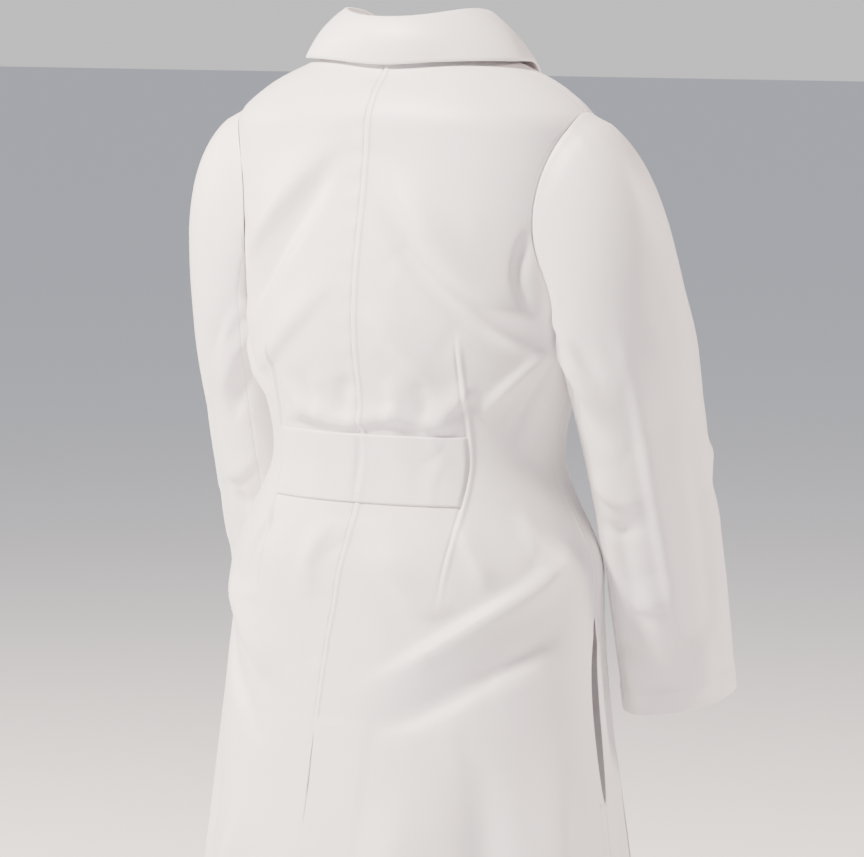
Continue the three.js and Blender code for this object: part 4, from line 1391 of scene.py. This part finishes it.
@dataclass
class Sleeve:
    """One sleeve: an upper and an under part sewn round the arm.

    Attributes:
        panels: The body that the sleeve is set in.
        side: The wearer's left or right.
        folds: The folds of its cloth, by turn round the arm and distance down it.
    """

    panels: BodyPanels
    side: Side
    folds: Drape
    length: float = 515.0
    top_width: float = 138.0
    hem_width: float = 122.0
    top_thickness: float = 98.0
    hem_thickness: float = 84.0
    cap: float = 0.283
    crown_fullness: float = 11.0
    set_off: float = 1.0
    clearance: float = 3.2
    turn_forward: float = math.radians(60.0)
    back_seam: float = math.radians(120.0)
    front_seam: float = math.radians(-105.0)
    hem: float = 25.0
    path_drop: tuple[float, ...] = (140.0, 262.0, 360.0, 490.0, 690.0)
    path_out: tuple[float, ...] = (-14.0, 26.0, 36.0, 40.0, 38.0)
    path_front: tuple[float, ...] = (3.0, 22.0, 52.0, 88.0, 138.0)

    def __post_init__(self) -> None:
        """Work out the arm's line."""
        shoulder = float(self.panels.torso.half(self.panels.torso.shoulder))
        keys = [
            (shoulder + out, -front, -drop)
            for out, front, drop in zip(self.path_out, self.path_front, self.path_drop)
        ]
        self.arm = curve_through(keys, 400)
        self.arm_length = float(np.linalg.norm(np.diff(self.arm, axis=0), axis=1).sum())
        self.arm_way = unit(np.gradient(self.arm, axis=0))

    def ring(self, turn: Array, along: Array) -> tuple[Array, Array]:
        """Return the section round the arm and the way down it."""
        share = np.minimum(1.0, along * self.length / self.arm_length) * 399
        centre = np.stack([np.interp(share, np.arange(400), self.arm[:, k]) for k in range(3)], axis=-1)
        down = unit(
            np.stack([np.interp(share, np.arange(400), self.arm_way[:, k]) for k in range(3)], axis=-1)
        )
        outward = unit(np.cross(down, np.array([0.0, 1.0, 0.0])))
        backward = unit(np.cross(outward, down))
        wide = outward * math.cos(self.turn_forward) - backward * math.sin(self.turn_forward)
        width = (lerp(self.top_width, self.hem_width, along) / 2)[..., None]
        thick = (lerp(self.top_thickness, self.hem_thickness, along) / 2)[..., None]
        spoke = outward * np.cos(turn)[..., None] + backward * np.sin(turn)[..., None]
        point = centre + spoke * thick + wide * (width - thick) * (spoke * wide).sum(axis=-1, keepdims=True)
        return point, down

    def clear(self, point: Array, margin: float) -> Array:
        """Return the points moved sideways until they are clear of the body."""
        torso = self.panels.torso
        power = 2 / torso.roundness
        depth = -point[..., 2]
        reach = np.where(point[..., 1] >= 0, torso.back(depth), torso.front(depth)) + margin
        across = 1 - np.abs(point[..., 1] / reach) ** power
        nearest = (torso.half(depth) + margin) * np.maximum(across, 0) ** (1 / power)
        moved = np.where(
            (across > 0) & (depth >= torso.shoulder), np.maximum(point[..., 0], nearest), point[..., 0]
        )
        return np.concatenate([moved[..., None], point[..., 1:]], axis=-1)

    def smooth_point(self, turn: Array, along: Array) -> Array:
        """Return points of the wearer's left sleeve without its folds, in mm."""
        torso = self.panels.torso
        turn, along = np.broadcast_arrays(turn, along)
        body, _ = self.ring(turn, along)
        angle, depth = torso.armhole_angle(turn), torso.armhole_depth(turn)
        head = torso.smooth_point(angle, depth) + torso.smooth_normal(angle, depth) * self.set_off
        foot, down = self.ring(turn, np.full_like(along, self.cap))
        mix = ((1 - np.cos(turn)) / 2)[..., None]
        leave = unit(lerp(np.array([0.85, 0.0, -0.5]), np.array([0.35, -0.1, -0.93]), mix))
        span = np.linalg.norm(head - foot, axis=-1, keepdims=True)
        t = np.clip(along / self.cap, 0, 1)[..., None]
        crown = (
            head * (1 + 2 * t) * (1 - t) ** 2 + foot * t * t * (3 - 2 * t)
            + leave * span * t * (1 - t) ** 2 + down * span * t * t * (t - 1)
        )
        joined = np.where((along >= self.cap)[..., None], body, crown)
        kept = self.clear(joined, self.clearance)
        return np.where((along > 0)[..., None], kept, joined)

    def place(self, turn: Array, along: Array, stand: float | Array = 0.0) -> tuple[Array, Array]:
        """Return points of this sleeve with its folds, and its outward directions."""
        turn, along = np.broadcast_arrays(turn, along)
        point = self.smooth_point(turn, along)
        around = self.smooth_point(turn + 0.02, along) - self.smooth_point(turn - 0.02, along)
        upper, lower = np.maximum(along - 0.02, 0.002), np.minimum(along + 0.02, 1.0)
        down = self.smooth_point(turn, lower) - self.smooth_point(turn, upper)
        normal = unit(np.cross(down, around))
        degrees = np.degrees(turn)
        lift = self.folds.at(degrees, along * self.length)
        lift = np.where(turn > self.back_seam, lift + self.folds.at(degrees - 360, along * self.length), lift)
        for seam in (self.back_seam, self.front_seam, self.front_seam + 2 * math.pi):
            away = (turn - seam) * self.top_thickness / 2
            lift = lift - 0.8 * np.exp(-((away / 1.4) ** 2))
        start = smooth(along * self.length / 16)
        gather = 0.7 * np.sin(turn * 26) * np.exp(-along * self.length / 13) * (0.5 + 0.5 * np.cos(turn))
        crown = np.clip(along / (self.cap * 1.5), 0, 1)
        crown = self.crown_fullness * np.sin(math.pi * crown**0.75) * (0.5 + 0.5 * np.cos(turn)) ** 1.5
        lift = lift + crown
        inner = 0.25 + 0.75 * smooth((1.35 + np.cos(turn)) / 1.4)
        point = point + normal * ((lift * start * inner + gather * start) + stand)[..., None]
        mirror = np.array([self.side.value, 1.0, 1.0])
        return self.clear(point, 1.4) * mirror, normal * mirror

    def build(self) -> None:
        """Build the sleeve's two parts and its stitching."""
        shop, word = self.panels.shop, self.side.word
        levels = steps_between(
            [
                0.0,
                10.0,
                150.0,
                self.length - self.hem - 1,
                self.length - self.hem + 1,
                self.length - 2,
                self.length,
            ],
            4.2,
        )
        along = (levels / self.length)[:, None]
        gap = 0.0015
        thickness = self.panels.cloth + 0.9 * smooth((levels - self.length + self.hem + 1) / 2)[:, None]
        motion = sleeve_motion(self.side)
        for name, start, end, count in (
            ("upper_sleeve", self.front_seam, self.back_seam, 96),
            ("under_sleeve", self.back_seam, self.front_seam + 2 * math.pi, 60),
        ):
            turns = np.linspace(start + gap, end - gap, count)[None, :] + 0 * along
            grid, normals = self.place(turns, along + 0 * turns)
            made = shop.cloth(f"{name}_{word}", grid, thickness + 0 * turns, normals)
            shop.register(made, Finish.POPLIN, "poplin", motion, [f"{name}_{word}"])
            self.panels.declare(made, grid)
        rows = []
        ring = np.linspace(self.front_seam + 0.02, self.front_seam + 2 * math.pi - 0.02, 160)
        rows.append(self.place(ring, np.full(160, 1 - (self.hem - 3) / self.length), 0.9))
        made = shop.stitches(f"sleeve_stitching_{word}", rows)
        shop.register(made, Finish.THREAD, "poplin", motion)


@dataclass
class PatchPocket:
    """A pocket sewn to a centre front along its sides and foot."""

    panels: BodyPanels
    side: Side
    node: str
    inset: float
    top: float
    width: float
    height: float
    fullness: float
    hem: float = 22.0
    seat: float = 1.3

    def stand(self, u: Array, v: Array) -> Array:
        """Return how far the pocket stands off the front."""
        full = np.sin(math.pi * np.clip(u, 0, 1)) ** 0.9 * (1 - smooth((v - 0.55) / 0.45))
        return self.seat + self.fullness * full * (0.75 + 0.25 * (1 - v))

    def place(self, u: Array, v: Array, lift: float = 0.0) -> tuple[Array, Array]:
        """Return points on the pocket by its share across and down."""
        depth = self.top + self.height * v
        turn = self.panels.torso.from_front(self.panels.front_gap / 2 + self.inset + self.width * u, depth)
        return self.panels.torso.place(self.side.value * turn, depth, self.stand(u, v) + lift)

    def build(self) -> None:
        """Build the pocket and its stitching."""
        shop = self.panels.shop
        v = steps_between(
            [0.0, 2.0, self.hem - 1, self.hem + 1, self.height - 3, self.height], 4.0
        )[:, None] / self.height
        u = steps_between([0.0, 3.0, self.width - 3.0, self.width], 3.6)[None, :] / self.width
        grid, normals = self.place(u + 0 * v, v + 0 * u)
        thick = 0.9 + 0.8 * (1 - smooth((v * self.height - self.hem + 1) / 2)) + 0 * u
        made = shop.cloth(self.node, grid, thick, normals)
        motion = front_motion(self.side)
        shop.register(made, Finish.POPLIN, "poplin", motion, [self.node])
        self.panels.declare(made, grid, "hung", [f"centre_front_{self.side.word}"])
        ease = np.linspace(0.012, 0.988, 60)
        edge = 2.2 / self.width
        rows = [
            self.place(np.full(60, edge), ease, 0.7),
            self.place(np.full(60, 1 - edge), ease, 0.7),
            self.place(ease, np.full(60, 1 - 2.2 / self.height), 0.7),
            self.place(ease, np.full(60, (self.hem - 3) / self.height), 1.0),
        ]
        made = shop.stitches(f"{self.node}_stitching", rows)
        shop.register(made, Finish.THREAD, "poplin", motion)


@dataclass
class Buttons:
    """Five moulded four-hole buttons and their buttonholes."""

    panels: BodyPanels
    count: int = 5
    radius: float = 9.5
    thickness: float = 3.0
    first: float = 145.0
    spacing: float = 102.0
    inset: float = 12.0
    hole_radius: float = 1.0
    hole_offset: float = 2.1
    buttonhole: float = 21.0

    def blank(self) -> bpy.types.Object:
        """Model one button lying flat at the origin, with a dished face and four holes."""
        bpy.ops.object.select_all(action="DESELECT")
        bpy.ops.mesh.primitive_cylinder_add(
            vertices=48, radius=self.radius * MM, depth=self.thickness * MM, end_fill_type="NGON"
        )
        disc = bpy.context.object
        bpy.ops.object.mode_set(mode="EDIT")
        bpy.ops.mesh.select_all(action="DESELECT")
        bpy.ops.object.mode_set(mode="OBJECT")
        for face in disc.data.polygons:
            face.select = face.normal.z > 0.9
        bpy.ops.object.mode_set(mode="EDIT")
        bpy.ops.mesh.inset(thickness=1.5 * MM, depth=0.0)
        bpy.ops.mesh.inset(thickness=0.7 * MM, depth=-0.7 * MM)
        bpy.ops.object.mode_set(mode="OBJECT")
        bevel = disc.modifiers.new("soft_rim", "BEVEL")
        bevel.width, bevel.segments, bevel.angle_limit = 0.45 * MM, 3, math.radians(25)
        bpy.ops.object.modifier_apply(modifier=bevel.name)
        for x, y in ((1, 1), (1, -1), (-1, 1), (-1, -1)):
            place = (x * self.hole_offset * MM, y * self.hole_offset * MM, 0)
            bpy.ops.mesh.primitive_cylinder_add(
                vertices=16, radius=self.hole_radius * MM, depth=12 * MM, location=place
            )
            drill = bpy.context.object
            cut = disc.modifiers.new("hole", "BOOLEAN")
            cut.object, cut.operation, cut.solver = drill, "DIFFERENCE", "EXACT"
            bpy.context.view_layer.objects.active = disc
            bpy.ops.object.modifier_apply(modifier=cut.name)
            bpy.data.objects.remove(drill, do_unlink=True)
        bpy.ops.object.select_all(action="DESELECT")
        disc.select_set(True)
        bpy.context.view_layer.objects.active = disc
        bpy.ops.object.shade_smooth_by_angle(angle=math.radians(35))
        return disc

    def build(self) -> None:
        """Build the buttons, the threads that hold them and the buttonholes."""
        panels, torso, shop = self.panels, self.panels.torso, self.panels.shop
        blank = self.blank()
        threads, holes = [], []
        for k in range(self.count):
            depth = np.array([self.first + k * self.spacing])
            turn = torso.from_front(panels.front_gap / 2 + self.inset, depth)
            seat, normal = torso.place(turn, depth, np.array([0.8 + self.thickness / 2]))
            out = Vector(normal[0])
            rotation = Vector((0, 0, 1)).rotation_difference(out).to_matrix().to_4x4()
            made = bpy.data.objects.new(f"moulded_button_{k + 1}", blank.data.copy())
            bpy.context.scene.collection.objects.link(made)
            made.data.transform(Matrix.Translation(Vector(seat[0]) * MM) @ rotation)
            shop.register(made, Finish.BUTTON, "button_plastic", front_motion(Side.LEFT), [f"button_{k + 1}"])
            across = rotation.to_3x3() @ Vector((1, 0, 0))
            along = rotation.to_3x3() @ Vector((0, 1, 0))
            for x in (-1, 1):
                line = np.linspace(-1.25, 1.25, 4)[:, None] * self.hole_offset * np.array(along)
                base = seat[0] + np.array(across) * x * self.hole_offset + normal[0] * (
                    self.thickness / 2 - 0.6
                )
                threads.append((base + line, np.repeat(normal, 4, axis=0)))
            for offset in (-1.3, 1.3):
                reach = np.linspace(
                    self.inset - self.buttonhole / 2 + 3, self.inset + self.buttonhole / 2 + 3, 8
                )
                turns = -torso.from_front(panels.front_gap / 2 + reach, depth + offset)
                holes.append(torso.place(turns, np.full(8, float(depth[0]) + offset), np.full(8, 0.55)))
        bpy.data.objects.remove(blank, do_unlink=True)
        made = shop.stitches("button_threads", threads, pitch=2.6, gauge=0.55)
        shop.register(made, Finish.THREAD, "button_plastic", front_motion(Side.LEFT))
        made = shop.stitches("buttonhole_stitching", holes, pitch=0.9, gauge=0.7)
        shop.register(made, Finish.THREAD, "poplin", front_motion(Side.RIGHT))


@dataclass
class NeckTrim:
    """The crescent facing inside the back neck, the blank label and the hanger loop."""

    panels: BodyPanels
    facing_back: float = 62.0
    facing_side: float = 16.0
    inset: float = 2.8
    label_width: float = 36.0
    label_height: float = 20.0
    label_depth: float = 44.0
    loop_half: float = 30.0
    loop_drop: float = 17.0
    loop_strap: float = 6.0
    loop_bend: float = 8.0
    loop_inset: float = 5.2

    def build(self) -> None:
        """Build the facing, the label and the loop."""
        panels, torso, shop = self.panels, self.panels.torso, self.panels.shop
        angle = np.linspace(-1, 1, 70)[None, :] * (torso.shoulder_seam - math.radians(4.0))
        deepest = lerp(self.facing_side, self.facing_back, np.cos(angle) ** 4)
        depth = lerp(0.6, deepest, np.linspace(0, 1, 18)[:, None])
        made, grid = panels.lay("neck_facing", angle + 0 * depth, depth, -self.inset)
        shop.register(made, Finish.POPLIN_INNER, "poplin_facing", back_motion(), ["neck_facing"])
        panels.declare(made, grid, "draped", ["back_left", "back_right"])
        edge = torso.place(angle[0], deepest[0] - 4.0, np.full(70, -self.inset - 0.5))
        made = shop.stitches("neck_facing_stitching", [(edge[0], -edge[1])])
        shop.register(made, Finish.THREAD, "poplin_facing", back_motion())
        across = np.linspace(-1, 1, 20)[None, :] * self.label_width / 2
        depth = self.label_depth + np.linspace(-0.5, 0.5, 12)[:, None] * self.label_height + 0 * across
        turns = np.sign(across) * torso.across(np.abs(across), depth)
        made, grid = panels.lay("size_label", turns, depth, -self.inset - 1.4, 0.6)
        shop.register(made, Finish.LABEL, "label_satin", back_motion(), ["size_label"])
        panels.declare(made, grid, "laid", ["neck_facing"])
        self.build_loop()

    def build_loop(self) -> None:
        """Build the tape loop, bent into a U; it is a narrow tape, so it is no sheet."""
        shop = self.panels.shop
        torso = self.panels.torso
        point = torso.smooth_point(0.0, 5.0) - torso.smooth_normal(0.0, 5.0) * self.loop_inset
        quarter = np.linspace(0, math.pi / 2, 9)
        half, bend, drop = self.loop_half, self.loop_bend, self.loop_drop
        left = [(-half, 0.0)] + [
            (-half + bend * (1 - math.cos(t)), -drop + bend * (1 - math.sin(t))) for t in quarter
        ]
        line = even_points(np.array(left + [(-x, z) for x, z in left[::-1]]), 70)
        way = unit(np.gradient(line, axis=0))
        aside = np.stack([-way[:, 1], way[:, 0]], axis=1)
        rows = []
        for share in np.linspace(-0.5, 0.5, 7):
            flat = line + aside * share * self.loop_strap
            bow = point[1] - 0.4 * math.cos(math.pi * share)
            rows.append(np.stack([flat[:, 0], np.full(len(flat), bow), point[2] + flat[:, 1]], axis=1))
        grid = np.array(rows)
        made = shop.cloth("hanger_loop", grid, 1.5, np.zeros_like(grid) + np.array([0.0, -1.0, 0.0]))
        shop.register(made, Finish.TAPE, "twill_tape", Motion("neck_loop"), ["hanger_loop"])


# ---------------------------------------------------------------- folds of this coat


def body_folds() -> Drape:
    """Return the folds of the coat's body, by turn in degrees and depth in mm."""
    folds = [
        # Drag lines from the centre back to the underarms.
        Fold(((-2, 84), (-18, 160), (-38, 216), (-78, 250)), 8.0, 17, 0.5),
        Fold(((-3, 122), (-21, 198), (-43, 250), (-74, 276)), -7.0, 12, 0.2),
        Fold(((6, 84), (20, 150), (38, 214), (60, 262)), -6.0, 15, -0.3),
        Fold(((4, 60), (22, 120), (44, 176), (62, 214)), 5.0, 15, -0.4),
        Fold(((2, 196), (18, 246), (36, 286), (66, 312)), 3.4, 13, -0.4),
        Fold(((-2, 226), (-16, 278), (-30, 322)), 3.0, 12, 0.3),
        Fold(((-60, 150), (-57, 205), (-66, 250)), -3.2, 10, 0.2),
        Fold(((60, 150), (57, 205), (66, 250)), -3.0, 10, 0.2),
        Fold(((-84, 262), (-62, 300), (-44, 345)), 4.0, 9, 0.4),
        Fold(((-86, 276), (-70, 326), (-62, 372)), -3.0, 8, 0.2),
        Fold(((84, 262), (62, 300), (44, 345)), 4.0, 9, -0.4),
        Fold(((86, 280), (72, 326), (64, 372)), -3.0, 8, 0.2),
        # The cloth blouses over the half belt's top edge.
        Fold(((40, 352), (22, 344), (6, 350), (-12, 342), (-28, 349), (-44, 346)), 4.2, 9, 0.3, 0.2),
        Fold(((34, 312), (24, 334), (10, 348)), 3.2, 10, 0.3),
        Fold(((-8, 306), (-14, 328), (-8, 350)), 3.0, 10, 0.3),
        Fold(((-44, 306), (-36, 328), (-26, 347)), 3.4, 10, -0.3),
        Fold(((3, 356), (5, 330), (0, 296)), -2.4, 8, 0.0),
        Fold(((-20, 357), (-24, 330), (-18, 300)), -2.6, 8, 0.0),
        Fold(((20, 356), (17, 330), (22, 300)), -2.0, 8, 0.0),
        # Folds that swing from the belt's ends and the hips to the vent's top.
        Fold(((62, 492), (44, 540), (26, 585), (10, 622)), 6.5, 13, 0.35),
        Fold(((70, 530), (50, 588), (28, 640), (14, 690)), -4.6, 13, 0.1),
        Fold(((-6, 622), (-22, 588), (-44, 540), (-88, 470)), 7.0, 14, -0.4),
        Fold(((-6, 656), (-26, 630), (-50, 590), (-84, 540)), -5.0, 14, 0.1),
        Fold(((-4, 452), (-14, 492), (-28, 528), (-40, 512)), 4.0, 12, 0.4),
        Fold(((-34, 440), (-40, 470), (-47, 512)), 3.6, 11, 0.4),
        Fold(((-62, 430), (-66, 470), (-76, 505)), 3.0, 12, 0.2),
        Fold(((6, 440), (9, 480), (8, 530)), 3.0, 11, -0.2),
        Fold(((30, 436), (36, 480), (34, 528)), -2.6, 10, 0.2),
        # Soft flutes of the skirt.
        Fold(((-22, 690), (-24, 790), (-26, 980)), 8.0, 26, 0.1),
        Fold(((-46, 640), (-50, 780), (-52, 980)), -8.0, 24, 0.0),
        Fold(((-72, 650), (-74, 790), (-74, 980)), 7.0, 24, -0.1),
        Fold(((24, 700), (26, 800), (27, 980)), 6.0, 22, 0.1),
        Fold(((46, 660), (50, 790), (52, 980)), -7.0, 24, 0.0),
        Fold(((74, 640), (76, 790), (76, 980)), 6.0, 22, 0.0),
        Fold(((108, 470), (112, 620), (113, 900)), -4.0, 20, 0.0),
        Fold(((-108, 470), (-112, 620), (-113, 900)), -4.0, 20, 0.0),
        # The fronts hang straighter.
        Fold(((136, 270), (140, 360), (143, 520)), 3.2, 14, 0.2),
        Fold(((-136, 270), (-140, 370), (-142, 540)), 3.2, 14, 0.2),
        Fold(((124, 330), (128, 420), (130, 560)), -3.0, 12, 0.2),
        Fold(((-124, 330), (-128, 420), (-130, 560)), -3.0, 12, 0.2),
        Fold(((108, 262), (122, 290), (138, 300)), 3.0, 10, 0.3),
        Fold(((-108, 262), (-122, 290), (-138, 300)), 3.0, 10, 0.3),
        Fold(((130, 790), (131, 880), (132, 980)), 4.0, 20, 0.0),
        Fold(((-130, 790), (-131, 880), (-132, 980)), 4.0, 20, 0.0),
    ]
    return Drape(
        [fold.stronger(1.55) for fold in folds], 3.14, 120, 5, (-175.0, 175.0), (70.0, 900.0), 52.0, 1.5
    )


def sleeve_folds(side: Side) -> Drape:
    """Return the folds of a sleeve, by turn in degrees and distance down it in mm."""
    folds = [
        Fold(((150, 36), (118, 84), (88, 150)), 4.6, 10, 0.4),
        Fold(((165, 60), (122, 130), (78, 205)), 4.4, 11, 0.4),
        Fold(((135, 40), (104, 104), (72, 170)), -3.4, 9, 0.1),
        Fold(((160, 110), (122, 170), (86, 240)), -3.4, 10, 0.1),
        Fold(((48, 120), (52, 280), (44, 470)), 3.6, 10, 0.4),
        Fold(((86, 260), (90, 370), (84, 470)), -3.2, 13, 0.1),
        Fold(((8, 210), (6, 330), (12, 480)), -3.0, 13, 0.1),
        Fold(((128, 250), (96, 282), (52, 290)), 3.0, 10, 0.4),
        Fold(((132, 300), (100, 318), (60, 312)), -2.6, 9, 0.1),
        Fold(((120, 372), (88, 398), (40, 392)), 2.4, 10, 0.3),
        Fold(((110, 440), (100, 500), (104, 512)), 3.0, 13, 0.0),
        Fold(((20, 430), (22, 490), (20, 512)), 3.0, 14, 0.0),
        Fold(((-40, 90), (-52, 190), (-58, 320)), 3.0, 12, 0.2),
        Fold(((-78, 150), (-60, 250), (-30, 330)), -2.8, 12, 0.2),
        Fold(((-96, 250), (-60, 276), (-20, 268)), 2.4, 10, 0.3),
        Fold(((-60, 400), (-56, 470), (-58, 512)), -2.8, 13, 0.0),
    ]
    return Drape(
        [fold.stronger(1.5) for fold in folds],
        1.0,
        40,
        11 if side is Side.LEFT else 23,
        (-100.0, 250.0),
        (60.0, 490.0),
        48.0,
        1.3,
    )


# ---------------------------------------------------------------- stage, light and camera


@dataclass
class Studio:
    """A pale floor, soft lights and the camera."""

    azimuth: float = 212.0
    elevation: float = 6.0
    distance: float = 4.6
    lens: float = 192.0
    aim: tuple[float, float, float] = (-0.012, -0.008, -0.366)
    floor_drop: float = 0.03
    floor_size: float = 60.0
    floor_glow: float = 0.34
    horizon: tuple[float, float] = (0.1, 0.22)
    horizon_light: float = 0.8
    sky_light: float = 0.22
    # Name, turn from the camera, height in degrees, distance, size, power and tint.
    lamps: tuple[tuple[str, float, float, float, float, float, str], ...] = (
        ("key", -58, 46, 2.3, 0.4, 210.0, "#FFF0E2"),
        ("side", 92, 24, 2.6, 0.5, 90.0, "#FFE6D4"),
        ("edge", -108, 16, 2.8, 0.7, 80.0, "#FFE6D4"),
    )

    def build(self) -> None:
        """Set up the floor, the lights, the world and the camera."""
        low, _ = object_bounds()
        bpy.ops.object.select_all(action="DESELECT")
        bpy.ops.mesh.primitive_plane_add(size=self.floor_size, location=(0, 0, low[2] - self.floor_drop))
        floor = bpy.context.object
        floor.name = "studio_floor"
        paint = bpy.data.materials.new("studio floor, matt pale paint")
        paint.use_nodes = True
        shader = paint.node_tree.nodes["Principled BSDF"]
        shader.inputs["Base Color"].default_value = linear("#F2F2F3")
        shader.inputs["Roughness"].default_value = 0.9
        shader.inputs["Emission Color"].default_value = linear("#F4F5F8")
        shader.inputs["Emission Strength"].default_value = self.floor_glow
        floor.data.materials.append(paint)
        floor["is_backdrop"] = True
        back = self.back(self.azimuth, self.elevation)
        for name, turn, *rest in self.lamps:
            self.lamp(name, self.azimuth + turn, *rest)
        self.air()
        data = bpy.data.cameras.new("camera")
        data.lens = self.lens
        data.dof.use_dof = False
        camera = bpy.data.objects.new("camera", data)
        camera.location = Vector(self.aim) + back * self.distance
        camera.rotation_euler = (-back).to_track_quat("-Z", "Y").to_euler()
        bpy.context.scene.collection.objects.link(camera)
        bpy.context.scene.camera = camera

    def air(self) -> None:
        """Set the world: cool and dim above, bright and white round the horizon."""
        world = bpy.data.worlds.new("studio_air")
        world.use_nodes = True
        place = add_node(world, "ShaderNodeTexCoord")
        split = add_node(world, "ShaderNodeSeparateXYZ", {0: place.outputs["Generated"]})
        height = add_node(world, "ShaderNodeMath", {0: split.outputs["Z"]}, operation="ABSOLUTE")
        near, far = self.horizon
        share = add_node(
            world, "ShaderNodeMapRange", {"Value": height.outputs[0], "From Min": near, "From Max": far}
        )
        tint = add_node(
            world, "ShaderNodeMix", {
                0: share.outputs[0], 6: linear("#FFFFFF"), 7: linear("#C9D3F0")
            }, data_type="RGBA"
        )
        power = add_node(
            world,
            "ShaderNodeMapRange",
            {"Value": share.outputs[0], "To Min": self.horizon_light, "To Max": self.sky_light},
        )
        sky = world.node_tree.nodes["Background"]
        world.node_tree.links.new(tint.outputs[2], sky.inputs["Color"])
        world.node_tree.links.new(power.outputs[0], sky.inputs["Strength"])
        bpy.context.scene.world = world

    def back(self, azimuth: float, elevation: float) -> Vector:
        """Return the direction from the coat towards a place round it."""
        a, e = math.radians(azimuth), math.radians(elevation)
        return Vector((math.sin(a) * math.cos(e), -math.cos(a) * math.cos(e), math.sin(e)))

    def lamp(
        self,
        name: str,
        azimuth: float,
        elevation: float,
        distance: float,
        size: float,
        power: float,
        tint: str,
    ) -> None:
        """Add one soft lamp that faces the coat."""
        data = bpy.data.lights.new(name, "AREA")
        data.shape, data.size, data.energy = "DISK", size, power
        data.color = linear(tint)[:3]
        made = bpy.data.objects.new(name, data)
        way = self.back(azimuth, elevation)
        made.location = Vector(self.aim) + way * distance
        made.rotation_euler = (-way).to_track_quat("-Z", "Y").to_euler()
        bpy.context.scene.collection.objects.link(made)


def main() -> None:
    """Build the coat piece by piece, then its stage."""
    logging.basicConfig(level=logging.INFO, format="%(name)s: %(message)s")
    shop = Workshop()
    panels = BodyPanels(shop, Torso(drape=body_folds()))
    panels.build()
    HalfBelt(panels).build()
    Collar(panels).build()
    for side in Side:
        Sleeve(panels, side, sleeve_folds(side)).build()
        PatchPocket(panels, side, f"lower_pocket_{side.word}", 20.0, 570.0, 138.0, 185.0, 7.0).build()
    PatchPocket(panels, Side.LEFT, "chest_pocket", 26.0, 205.0, 70.0, 112.0, 4.0).build()
    Buttons(panels).build()
    NeckTrim(panels).build()
    LOG.info("object: %d triangles", shop.triangles)
    Studio().build()


if __name__ == "__main__":
    main()
